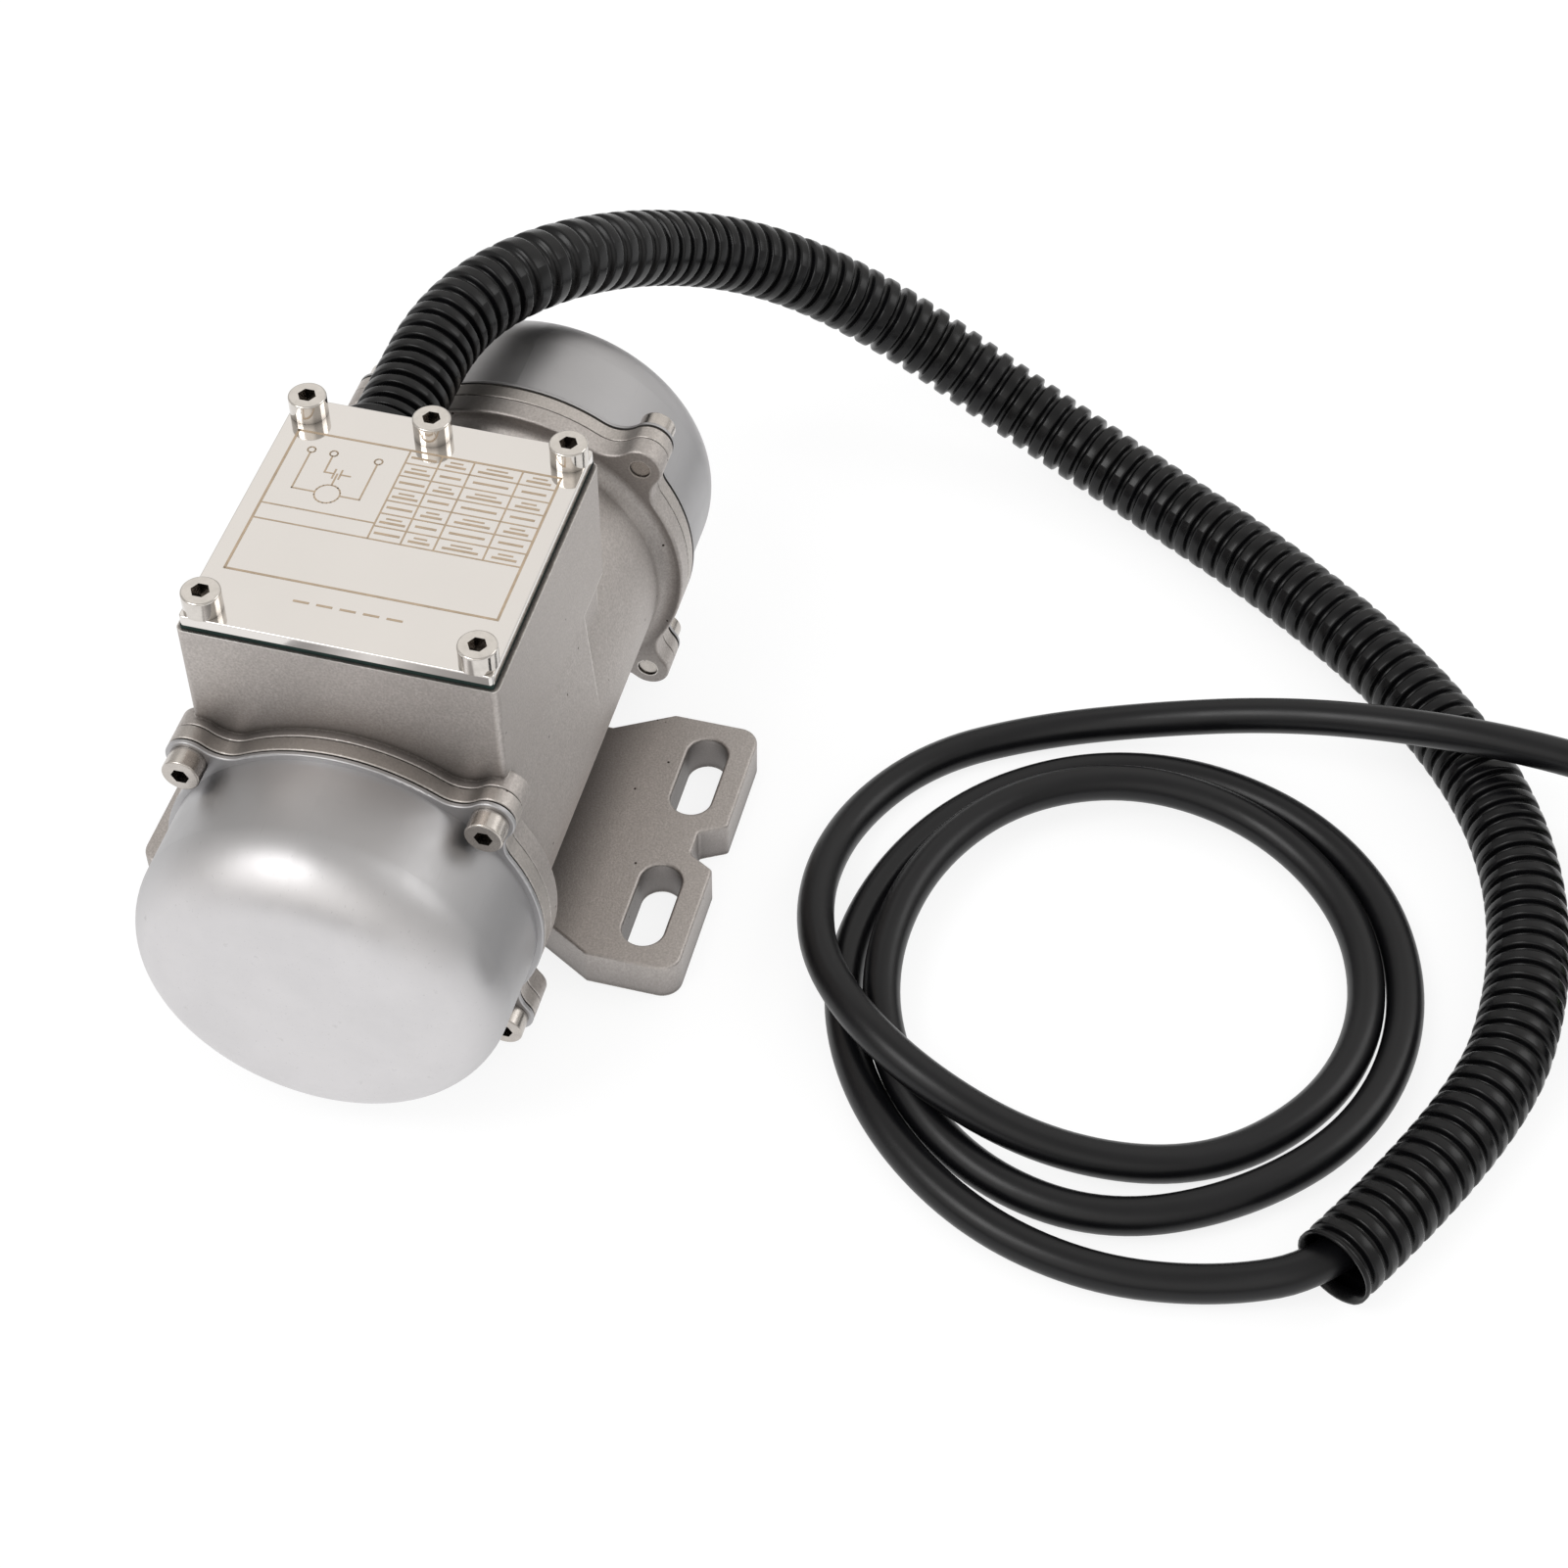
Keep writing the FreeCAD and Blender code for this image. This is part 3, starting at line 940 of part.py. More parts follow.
def circlip():
    """Retaining ring at the shaft's end, open at the top."""
    low = -CIRCLIP_START - CIRCLIP_THICKNESS
    ring = cylinder_x(CIRCLIP_OUTER, low, -CIRCLIP_START)
    ring = ring.cut(cylinder_x(CIRCLIP_GROOVE + SEAT_GAP, low - 1, -CIRCLIP_START + 1))
    gap = block(low - 1, -CIRCLIP_START + 1, -CIRCLIP_OPENING / 2, CIRCLIP_OPENING / 2,
                SHAFT_HEIGHT, SHAFT_HEIGHT + CIRCLIP_OUTER + 1)
    return ring.cut(gap)


# ---- inside the terminal box ------------------------------------------------
def capacitor():
    """Run capacitor: a moulded block beside the terminal pad."""
    half = CAPACITOR_LENGTH / 2
    across = CAPACITOR_WIDTH / 2
    can = block(CAPACITOR_X - half, CAPACITOR_X + half, CAPACITOR_Y - across, CAPACITOR_Y + across,
                CAPACITOR_FOOT, CAPACITOR_FOOT + CAPACITOR_HEIGHT)
    return rounded(can, CAPACITOR_EDGE, lambda e, m: along(e, Z_AXIS) or m.z > CAPACITOR_FOOT + 1)


def pole_places():
    """Middle of each terminal along Y."""
    return [BLOCK_PITCH * (n - (BLOCK_POLES - 1) / 2) for n in range(BLOCK_POLES)]


def fixing_places():
    """Middle of each fixing screw of the terminal block along Y, between the poles."""
    return [-BLOCK_PITCH / 2, BLOCK_PITCH / 2]


def terminal_block():
    """Three-pole terminal block with a wire way and a screw well in each pole."""
    half = BLOCK_WIDTH / 2
    top = BLOCK_BASE + BLOCK_HEIGHT
    body = block(TERMINAL_PAD_X - half, TERMINAL_PAD_X + half, -BLOCK_LENGTH / 2, BLOCK_LENGTH / 2,
                 BLOCK_BASE, top)
    cuts = []
    for y in pole_places():
        cuts.append(cylinder_x(BLOCK_WAY_RADIUS, TERMINAL_PAD_X - half - 1, TERMINAL_PAD_X + half + 1,
                               y, BLOCK_WAY_Z))
        cuts.append(cylinder_z(BLOCK_SCREW_RADIUS + RUNNING_FIT, BLOCK_WAY_Z, top + 1, TERMINAL_PAD_X, y))
    for y in fixing_places():
        cuts.append(cylinder_z(FIXING_RADIUS + SCREW_CLEARANCE, BLOCK_BASE - 1, top, TERMINAL_PAD_X, y))
        cuts.append(cylinder_z(FIXING_HEAD_RADIUS + RUNNING_FIT, top - FIXING_WELL, top + 1,
                               TERMINAL_PAD_X, y))
    return body.cut(group(cuts))


def terminal_block_screws():
    """Two pan-head screws that hold the terminal block on its pad."""
    screws = []
    seat = BLOCK_BASE + BLOCK_HEIGHT - FIXING_WELL + SEAT_GAP
    for y in fixing_places():
        head = cylinder_z(FIXING_HEAD_RADIUS, seat, seat + FIXING_HEAD_HEIGHT, TERMINAL_PAD_X, y)
        shank = cylinder_z(FIXING_RADIUS, TERMINAL_PAD_TOP - FIXING_DEPTH, seat + 0.5, TERMINAL_PAD_X, y)
        screws.append(fused([head, shank]))
    return group(screws)


def terminal_screws():
    """One slotted clamping screw in each pole."""
    screws = []
    top = BLOCK_BASE + BLOCK_HEIGHT
    for y in pole_places():
        low = BLOCK_WAY_Z + WIRE_RADIUS + 0.1
        screw = cylinder_z(BLOCK_SCREW_RADIUS, low, top - 0.8, TERMINAL_PAD_X, y)
        slot = block(TERMINAL_PAD_X - 3, TERMINAL_PAD_X + 3, y - SCREW_SLOT / 2, y + SCREW_SLOT / 2,
                     top - 1.6, top)
        screws.append(screw.cut(slot))
    return group(screws)


def lead_grommet():
    """Rubber grommet in the hole between the stator and the box."""
    low = SHAFT_HEIGHT + BORE_RADIUS + 0.5
    sleeve = cylinder_z(LEAD_HOLE_RADIUS - SEAT_GAP, low, LEAD_BOSS_TOP + SEAT_GAP, LEAD_HOLE_X, 0)
    flange = cylinder_z(LEAD_BOSS_RADIUS - 0.6, LEAD_BOSS_TOP + SEAT_GAP, LEAD_BOSS_TOP + 1.2, LEAD_HOLE_X, 0)
    way = cylinder_z(LEAD_BORE_RADIUS, low - 1, LEAD_BOSS_TOP + 3, LEAD_HOLE_X, 0)
    return fused([sleeve, flange]).cut(way)


def earth_screw():
    """Earth terminal: short socket screw on its boss."""
    return socket_screw(Vec(EARTH_BOSS_X, EARTH_BOSS_Y, EARTH_BOSS_TOP + SEAT_GAP), Z_AXIS,
                        EARTH_SCREW_LENGTH)


def clamp_screw_places():
    """Middle of each cable clamp screw along Y."""
    offset = CABLE_RADIUS + CLAMP_SCREW_OFFSET
    return [OUTLET_Y - offset, OUTLET_Y + offset]


def cable_clamp():
    """Saddle over the cable, screwed to its post."""
    half = CLAMP_WIDTH / 2
    low = OUTLET_Z - CABLE_RADIUS
    bar = block(CLAMP_X - half, CLAMP_X + half, OUTLET_Y - CLAMP_SPAN / 2, OUTLET_Y + CLAMP_SPAN / 2,
                low, OUTLET_Z + CABLE_RADIUS + CLAMP_SADDLE)
    groove = cylinder_x(CABLE_RADIUS + SEAT_GAP, CLAMP_X - half - 1, CLAMP_X + half + 1, OUTLET_Y, OUTLET_Z)
    under = block(CLAMP_X - half - 1, CLAMP_X + half + 1, OUTLET_Y - CABLE_RADIUS - SEAT_GAP,
                  OUTLET_Y + CABLE_RADIUS + SEAT_GAP, low - 1, OUTLET_Z)
    ledges = []
    for side in (-1, 1):
        reach = CABLE_RADIUS + CLAMP_SHOULDER
        low_y, high_y = sorted((OUTLET_Y + side * reach, OUTLET_Y + side * CLAMP_SPAN))
        ledges.append(block(CLAMP_X - half - 1, CLAMP_X + half + 1, low_y, high_y,
                            OUTLET_Z, OUTLET_Z + CABLE_DIAMETER))
    holes = [cylinder_z(CLAMP_SCREW_RADIUS + SCREW_CLEARANCE, low - 1, OUTLET_Z + 1, CLAMP_X, y)
             for y in clamp_screw_places()]
    return bar.cut(groove).cut(under).cut(group(ledges)).cut(group(holes))


def clamp_screws():
    """Two round-headed screws of the cable clamp."""
    screws = []
    for y in clamp_screw_places():
        head = cylinder_z(CLAMP_HEAD_RADIUS, OUTLET_Z + SEAT_GAP, OUTLET_Z + CLAMP_HEAD_HEIGHT, CLAMP_X, y)
        shank = cylinder_z(CLAMP_SCREW_RADIUS, OUTLET_Z - CABLE_RADIUS - CLAMP_SCREW_DEPTH, OUTLET_Z + 0.5,
                           CLAMP_X, y)
        screws.append(fused([head, shank]))
    return group(screws)


def motor_leads():
    """Three leads from the end winding, through the grommet, to the terminal block."""
    wires = []
    entry = TERMINAL_PAD_X - BLOCK_WIDTH / 2 + 3
    for index, pole in enumerate(pole_places()):
        start_y = 1.7 * (index - 1)
        y = pole + WIRE_OFFSET
        route = [(LEAD_HOLE_X, start_y, SHAFT_HEIGHT + COIL_OUTER + 0.3),
                 (LEAD_HOLE_X, start_y, BLOCK_WAY_Z + 2.5), (LEAD_HOLE_X + 7.5, y, BLOCK_WAY_Z + 2.0),
                 (entry - 6, y, BLOCK_WAY_Z), (entry, y, BLOCK_WAY_Z)]
        wires.append(tube(route, WIRE_RADIUS))
    return group(wires)


def capacitor_leads():
    """Two leads from the capacitor's side to the first two poles, beside the motor leads."""
    side = CAPACITOR_Y + CAPACITOR_WIDTH / 2 + SEAT_GAP
    entry = TERMINAL_PAD_X - BLOCK_WIDTH / 2 + 3
    first, second = (pole - WIRE_OFFSET for pole in pole_places()[:2])
    low_route = [(entry - 10, side, BLOCK_WAY_Z + 3), (entry - 10, side + 2, BLOCK_WAY_Z + 3),
                 (entry - 6, first, BLOCK_WAY_Z), (entry, first, BLOCK_WAY_Z)]
    high_route = [(entry - 10, side, BLOCK_WAY_Z + 7), (entry - 10, side + 4, BLOCK_WAY_Z + 7),
                  (entry - 9, second - 0.7, BLOCK_WAY_Z + 5.5), (entry - 6, second, BLOCK_WAY_Z),
                  (entry, second, BLOCK_WAY_Z)]
    return group([tube(low_route, WIRE_RADIUS), tube(high_route, WIRE_RADIUS)])


def supply_cores():
    """Three cores from the end of the cable to the terminal block."""
    wires = []
    entry = TERMINAL_PAD_X + BLOCK_WIDTH / 2 - 3
    cable_end = WALL_INNER_X - CABLE_IN_BOX
    for index, y in enumerate(pole_places()):
        angle = math.radians(90 + 120 * index)
        start_y = OUTLET_Y + 1.7 * math.cos(angle)
        start_z = OUTLET_Z + 1.7 * math.sin(angle)
        route = [(cable_end - SEAT_GAP, start_y, start_z), (cable_end - 3, start_y - 0.3, start_z),
                 (entry + 6.5, y + 1.0, BLOCK_WAY_Z + 1.0), (entry + 3.5, y, BLOCK_WAY_Z),
                 (entry, y, BLOCK_WAY_Z)]
        wires.append(tube(route, WIRE_RADIUS))
    return group(wires)


# ---- conduit, cable and coil ------------------------------------------------
def route_edges(route):
    """Straight runs joined by tangent arcs along a route; also its radii and length."""
    points = [Vec(*p) for p in route]
    runs = [(b - a).Length for a, b in zip(points, points[1:])]
    edges = []
    radii = []
    last = points[0]
    for n in range(1, len(points) - 1):
        back = (points[n - 1] - points[n]).normalize()
        ahead = (points[n + 1] - points[n]).normalize()
        reach = TURN_SHARE * min(runs[n - 1], runs[n])
        half_turn = (math.pi - back.getAngle(ahead)) / 2
        radius = reach / math.tan(half_turn)
        start = points[n] + back * reach
        end = points[n] + ahead * reach
        inward = (back + ahead).normalize()
        middle = points[n] + inward * (radius / math.cos(half_turn) - radius)
        edges.append(Part.LineSegment(last, start).toShape())
        edges.append(Part.Arc(start, middle, end).toShape())
        radii.append(radius)
        last = end
    edges.append(Part.LineSegment(last, points[-1]).toShape())
    return edges, radii


def tube(route, radius, bore=0.0):
    """Round tube along a route, solid or hollow."""
    edges, _ = route_edges(route)
    start = Vec(*route[0])
    heading = (Vec(*route[1]) - start).normalize()
    path = Part.Wire(edges)
    rim = Part.Wire([Part.makeCircle(radius, start, heading)])
    solid = path.makePipeShell([rim], True, True)
    if not bore:
        return solid
    inner_rim = Part.Wire([Part.makeCircle(bore, start, heading)])
    return solid.cut(path.makePipeShell([inner_rim], True, True))


def report_route(name, route, radius, bore=0.0):
    """Print the length and bends of a route, and the volume it should have."""
    edges, radii = route_edges(route)
    length = sum(edge.Length for edge in edges)
    section = math.pi * (radius**2 - bore**2)
    print(name, "length", round(length, 1), "volume by length", round(section * length),
          "radii", [round(r) for r in radii])


def conduit_collar():
    """Round collar in the rear wall of the box, shouldered for the conduit's end."""
    start = WALL_INNER_X - 0.5
    end = WALL_INNER_X + COLLAR_LENGTH
    sleeve = cylinder_x(COLLAR_RADIUS - COLLAR_NECK, start, end, OUTLET_Y, OUTLET_Z)
    nose = cylinder_x(COLLAR_RADIUS, BOX_REAR + SEAT_GAP, end, OUTLET_Y, OUTLET_Z)
    nose = rounded(nose, COLLAR_EDGE, lambda e, m: m.x > end - 0.01)
    collar = fused([sleeve, nose])
    seat_start = end - COLLAR_SHOULDER
    seat = cylinder_x(CONDUIT_RADIUS + RUNNING_FIT, seat_start, end + 1, OUTLET_Y, OUTLET_Z)
    way = cylinder_x(CONDUIT_BORE / 2, start - 1, end, OUTLET_Y, OUTLET_Z)
    return collar.cut(group([seat, way]))


def conduit_route():
    """The conduit's route, from its seat in the collar."""
    seat = WALL_INNER_X + COLLAR_LENGTH - COLLAR_SHOULDER
    return [(seat + SEAT_GAP, OUTLET_Y, OUTLET_Z)] + CONDUIT_ROUTE


def conduit():
    """Corrugated conduit, as a plain hollow tube of its outer size."""
    return tube(conduit_route(), CONDUIT_RADIUS, CONDUIT_BORE / 2)


def cable_in_conduit():
    """The supply cable from inside the box to the conduit's open end."""
    box_end = WALL_INNER_X - CABLE_IN_BOX
    straight = cylinder_x(CABLE_RADIUS, box_end, conduit_route()[0][0], OUTLET_Y, OUTLET_Z)
    return fused([straight, tube(conduit_route(), CABLE_RADIUS)])


def cable_loops():
    """The free cable from the conduit's mouth, round its loose loops, to the coil."""
    return tube(CABLE_ROUTE, CABLE_RADIUS)


def ring_about_coil(radius, height, wire_radius, start, degrees):
    """Part of a round ring of wire about the coil's centre."""
    centre = Vec(COIL_CENTRE_X, COIL_CENTRE_Y, height)
    rim = Part.Face(Part.Wire([Part.makeCircle(wire_radius, centre + X_AXIS * radius, Y_AXIS)]))
    rim.rotate(centre, Z_AXIS, start)
    return rim.revolve(centre, Z_AXIS, degrees)


def cable_coil():
    """The put-away length: two turns side by side and most of a third on top."""
    inner = COIL_MEAN_RADIUS - COIL_TURN_PITCH / 2 - CABLE_RADIUS
    outer = COIL_MEAN_RADIUS + COIL_TURN_PITCH / 2 + CABLE_RADIUS
    low = COIL_LEVEL - CABLE_RADIUS
    high = COIL_LEVEL + CABLE_RADIUS
    disc = cylinder_z(outer, low, high, COIL_CENTRE_X, COIL_CENTRE_Y)
    disc = disc.cut(cylinder_z(inner, low - 1, high + 1, COIL_CENTRE_X, COIL_CENTRE_Y))
    rims = [e for e in disc.Edges if e.Curve.TypeId == "Part::GeomCircle"]
    disc = disc.makeFillet(CABLE_RADIUS - 0.1, rims)
    top = ring_about_coil(COIL_MEAN_RADIUS, COIL_LEVEL + COIL_TOP_RISE, CABLE_RADIUS,
                          -COIL_TOP_TURN_DEGREES, COIL_TOP_TURN_DEGREES)
    return fused([disc, top])


def coil_tie():
    """Strap round the three strands of the coil, on its -X side."""
    strands = [(COIL_MEAN_RADIUS - COIL_TURN_PITCH / 2, COIL_LEVEL),
               (COIL_MEAN_RADIUS + COIL_TURN_PITCH / 2, COIL_LEVEL),
               (COIL_MEAN_RADIUS, COIL_LEVEL + COIL_TOP_RISE)]
    start = COIL_CENTRE_Y - TIE_WIDTH / 2
    corners = [Vec(COIL_CENTRE_X - radius, start, z) for radius, z in strands]
    triangle = Part.makePolygon(corners + [corners[0]])
    inner = Part.Face(triangle.makeOffset2D(CABLE_RADIUS + TIE_CLEARANCE))
    outer = Part.Face(triangle.makeOffset2D(CABLE_RADIUS + TIE_CLEARANCE + TIE_THICKNESS))
    return outer.extrude(Y_AXIS * TIE_WIDTH).cut(inner.extrude(Y_AXIS * TIE_WIDTH))


def core_heights():
    """Radius about the coil of each bare core, and the height it lies at."""
    level = COIL_LEVEL + CABLE_RADIUS + CORE_WIRE_RADIUS + SEAT_GAP
    return [(COIL_MEAN_RADIUS + CORE_WIRE_SPACING * n, level) for n in (-1, 0, 1)]


def free_cores(pick=None):
    """Insulated cores at the cable's far end, lying on the coil; one or all."""
    start = -COIL_TOP_TURN_DEGREES - SEAT_GAP
    wires = []
    for index, (radius, level) in enumerate(core_heights()):
        if pick is None or pick == index:
            wires.append(ring_about_coil(radius, level, CORE_WIRE_RADIUS, start - CORE_WIRE_DEGREES,
                                         CORE_WIRE_DEGREES))
    return wires


def core_ferrules():
    """Crimped ferrules on the three free cores."""
    start = -COIL_TOP_TURN_DEGREES - SEAT_GAP - CORE_WIRE_DEGREES - FERRULE_GAP_DEGREES
    return group([ring_about_coil(radius, level, FERRULE_RADIUS, start - FERRULE_DEGREES, FERRULE_DEGREES)
                  for radius, level in core_heights()])


def sub_parts():
    """Every node by name."""
    front = bearing_centre()
    rear = front - WAVE_SPRING
    shield = end_shield()
    gasket = cover_gasket()
    cover = end_cover()
    screws = end_screws()
    parts = {
        "housing": housing(),
        "front_end_shield": shield,
        "rear_end_shield": mirrored_end(shield),
        "front_cover_gasket": gasket,
        "rear_cover_gasket": mirrored_end(gasket),
        "front_cover": cover,
        "rear_cover": mirrored_end(cover),
        "front_cover_screws": screws,
        "rear_cover_screws": mirrored_end(screws),
        "lid": lid(),
        "lid_gasket": lid_gasket(),
        "lid_screws": lid_screws(),
        "stator_core": stator_core(),
        "stator_windings": stator_windings(),
        "rotor_core": rotor_core(),
        "rotor_cage": rotor_cage(),
        "shaft": shaft(),
        "rear_wave_spring": wave_spring(),
        "capacitor": capacitor(),
        "terminal_block": terminal_block(),
        "terminal_block_screws": terminal_block_screws(),
        "terminal_screws": terminal_screws(),
        "lead_grommet": lead_grommet(),
        "earth_screw": earth_screw(),
        "cable_clamp": cable_clamp(),
        "cable_clamp_screws": clamp_screws(),
        "motor_leads": motor_leads(),
        "capacitor_leads": capacitor_leads(),
        "supply_cores": supply_cores(),
        "conduit_collar": conduit_collar(),
        "conduit": conduit(),
        "cable_in_conduit": cable_in_conduit(),
        "cable_loops": cable_loops(),
        "cable_coil": cable_coil(),
        "core_ferrules": core_ferrules(),
        "coil_tie": coil_tie(),
    }
    for index, colour in enumerate(("brown", "blue", "earth")):
        parts["free_core_" + colour] = free_cores(index)[0]
    for end, x in (("front", -front), ("rear", rear)):
        parts[end + "_bearing_outer_ring"] = bearing_ring(x, OUTER_LAND_RADIUS, BEARING_RADIUS)
        parts[end + "_bearing_inner_ring"] = bearing_ring(x, BEARING_BORE, INNER_LAND_RADIUS)
        parts[end + "_bearing_balls"] = bearing_balls(x)
        parts[end + "_bearing_cage"] = bearing_cage(x)
        parts[end + "_bearing_seals"] = bearing_seals(x)
    weights = {
        "fixed_weight": fixed_weight(),
        "adjustable_weight": adjustable_weight(),
        "weight_key": weight_key(),
        "weight_grub_screw": grub_screw(),
        "circlip": circlip(),
    }
    for name, shape in weights.items():
        parts["front_" + name] = shape
        parts["rear_" + name] = mirrored_end(shape)
    return parts


def main():
    os.makedirs("parts", exist_ok=True)
    report_route("conduit", conduit_route(), CONDUIT_RADIUS, CONDUIT_BORE / 2)
    report_route("cable loops", CABLE_ROUTE, CABLE_RADIUS)
    for name, shape in sub_parts().items():
        box = shape.BoundBox
        print(name, len(shape.Solids), "valid" if shape.isValid() else "INVALID", round(shape.Volume),
              [round(v, 1) for v in (box.XMin, box.XMax, box.YMin, box.YMax, box.ZMin, box.ZMax)])
        shape.exportStep(os.path.join("parts", name + ".step"))


main()
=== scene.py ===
"""Looks of a small external vibration motor with its corrugated conduit and supply cable.

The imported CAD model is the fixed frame. This file adds the camera, the two free cords, the coil's
strap, the lid's engraving and every surface finish, and lights them in a plain studio.
Sizes are in millimetres until a mesh is written, and one factor turns them to metres.
"""

import logging
import math
from dataclasses import dataclass, field
from enum import Enum

import bpy
import numpy as np
from mathutils import Matrix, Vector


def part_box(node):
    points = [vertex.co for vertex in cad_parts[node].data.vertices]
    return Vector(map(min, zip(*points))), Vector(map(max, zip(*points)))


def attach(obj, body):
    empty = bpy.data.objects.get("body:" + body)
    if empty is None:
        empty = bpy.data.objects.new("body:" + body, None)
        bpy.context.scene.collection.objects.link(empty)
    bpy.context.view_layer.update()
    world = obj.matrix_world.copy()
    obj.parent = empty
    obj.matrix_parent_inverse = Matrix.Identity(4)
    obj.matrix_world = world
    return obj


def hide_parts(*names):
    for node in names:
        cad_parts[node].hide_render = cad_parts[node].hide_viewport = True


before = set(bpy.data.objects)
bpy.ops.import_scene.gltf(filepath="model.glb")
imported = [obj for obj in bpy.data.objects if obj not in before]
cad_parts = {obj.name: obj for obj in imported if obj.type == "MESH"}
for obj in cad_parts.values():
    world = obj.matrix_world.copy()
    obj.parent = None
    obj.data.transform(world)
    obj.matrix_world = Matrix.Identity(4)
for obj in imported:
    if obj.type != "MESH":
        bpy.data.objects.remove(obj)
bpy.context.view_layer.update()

LOG = logging.getLogger("vibration_motor")
MM = 0.001
Array = np.ndarray
Material = bpy.types.Material
Piece = bpy.types.Object
Socket = bpy.types.NodeSocket
Inputs = bpy.types.NodeInputs
Tree = bpy.types.NodeTree
Pair = tuple[float, float]
Triple = tuple[float, float, float]
Quad = tuple[float, float, float, float]


class Body(Enum):
    """The CAD bodies that new pieces ride on."""

    STATOR = "stator"


class Seen(Enum):
    """Kinds of ray for which the floor and the world show as plain white."""

    CAMERA = "Is Camera Ray"
    GLOSSY = "Is Glossy Ray"
    TRANSMISSION = "Is Transmission Ray"


# ---- small tools ----
def linear(colour: str) -> Quad:
    """Turn an sRGB hex colour into linear RGBA.

    Args:
        colour: Six hex digits after a hash sign.

    Returns:
        The four linear channels, alpha 1.
    """
    channels = (int(colour[i:i + 2], 16) / 255 for i in (1, 3, 5))
    red, green, blue = (c / 12.92 if c <= 0.04045 else ((c + 0.055) / 1.055) ** 2.4
                        for c in channels)
    return red, green, blue, 1.0


def add_node(
    tree: Tree, kind: str, settings: dict[str | int, object] | None = None,
    links: dict[str | int, Socket] | None = None
) -> bpy.types.Node:
    """Add a node, set its properties or socket values, and link its inputs.

    Args:
        tree: The tree that the node goes into.
        kind: Its type name, less the start that every shader node shares.
        settings: Property names, or input names or numbers, with their values.
        links: Input names or numbers with the outputs that feed them.

    Returns:
        The new node.
    """
    node = tree.nodes.new("ShaderNode" + kind)
    for key, value in (settings or {}).items():
        if isinstance(key, str) and key in node.bl_rna.properties:
            setattr(node, key, value)
        else:
            node.inputs[key].default_value = value
    for key, source in (links or {}).items():
        tree.links.new(source, node.inputs[key])
    return node


def mesh_piece(
    name: str, points: Array, faces: Array, material: Material, caps: Array | None = None
) -> Piece:
    """Make a mesh object at the origin from arrays.

    Args:
        name: Name of the piece.
        points: Vertices in millimetres, shape (..., 3).
        faces: Quads as vertex numbers, shape (m, 4).
        material: Its only material.
        caps: Faces of more corners, if any, one to a row.

    Returns:
        The object, linked into the scene, with smooth faces.
    """
    mesh = bpy.data.meshes.new(name)
    every = faces.tolist() + ([] if caps is None else caps.tolist())
    places = (points * MM).astype(np.float32).reshape(-1, 3)
    mesh.from_pydata(places.tolist(), [], every)
    mesh.polygons.foreach_set("use_smooth", np.ones(len(every), dtype=bool))
    mesh.validate()
    mesh.materials.append(material)
    piece = bpy.data.objects.new(name, mesh)
    bpy.context.scene.collection.objects.link(piece)
    return piece


def grid_faces(rows: int, columns: int, close_rows: bool) -> Array:
    """Quads between rings of points, numbered ring by ring: each point, the next on its ring, and
    the same two on the next ring.

    Args:
        rows: Number of rings.
        columns: Number of points on a ring, whose last point always joins its first.
        close_rows: Whether the last ring joins the first.

    Returns:
        Vertex numbers of the quads, shape (quads, 4).
    """
    row = np.arange(rows if close_rows else rows - 1)[:, None]
    column = np.arange(columns)[None, :]
    next_row = (row + 1) % rows
    next_column = (column + 1) % columns
    corners = [row * columns + column, row * columns + next_column,
               next_row * columns + next_column, next_row * columns + column]
    return np.stack(np.broadcast_arrays(*corners), axis=-1).reshape(-1, 4)


# ---- shader tools ----
VECTOR = "VectorMath"
# Noise lies mostly inside these values; the narrower pair gives more contrast.
SOFT = (0.3, 0.7)
CRISP = (0.35, 0.65)


def maths(
    tree: Tree, operation: str, *values: Socket | float | Triple, kind: str = "Math"
) -> Socket:
    """Result of a maths node.

    Args:
        tree: The tree that the node goes into.
        operation: What it does.
        values: Its inputs in order, each a socket or a fixed value.
        kind: Type of the node, for numbers or for vectors.

    Returns:
        The result, which is a number for a dot product.
    """
    links = {n: value for n, value in enumerate(values) if isinstance(value, Socket)}
    fixed = {n: value for n, value in enumerate(values) if n not in links}
    node = add_node(tree, kind, {"operation": operation, **fixed}, links)
    return node.outputs["Value" if operation == "DOT_PRODUCT" else 0]


def noise(tree: Tree, place: Socket, size_mm: float, detail: float = 3.0) -> Socket:
    """Noise whose lumps are about size_mm across."""
    settings = {"Scale": 1 / (size_mm * MM), "Detail": detail, "Roughness": 0.6}
    return add_node(tree, "TexNoise", settings, {"Vector": place}).outputs["Fac"]


def bands(
    tree: Tree, place: Socket, way: str, size: float, warp: float = 0.0, warp_scale: float = 1.0
) -> Socket:
    """Bands that repeat at about a size; a wave texture repeats every 0.314 / scale.

    Args:
        tree: The material's tree.
        place: Coordinates.
        way: Direction across the bands.
        size: Distance between bands, in the coordinates' unit.
        warp: How far the bands wander.
        warp_scale: How often they wander.

    Returns:
        The bands, between 0 and 1.
    """
    settings = {"bands_direction": way, "Scale": 1 / (size * 3.1416), "Distortion": warp,
                "Detail Scale": warp_scale}
    return add_node(tree, "TexWave", settings, {"Vector": place}).outputs["Fac"]


def relief(tree: Tree, height: Socket, depth_mm: float) -> Socket:
    """Bump of that depth from a height between 0 and 1."""
    return add_node(tree, "Bump", {"Distance": depth_mm * MM, "Strength": 1.0},
                    {"Height": height}).outputs["Normal"]


def openness(tree: Tree, reach_mm: float) -> Socket:
    """Share of the sky that nothing nearer than the reach covers."""
    return add_node(tree, "AmbientOcclusion",
                    {"samples": 6, "Distance": reach_mm * MM}).outputs["AO"]


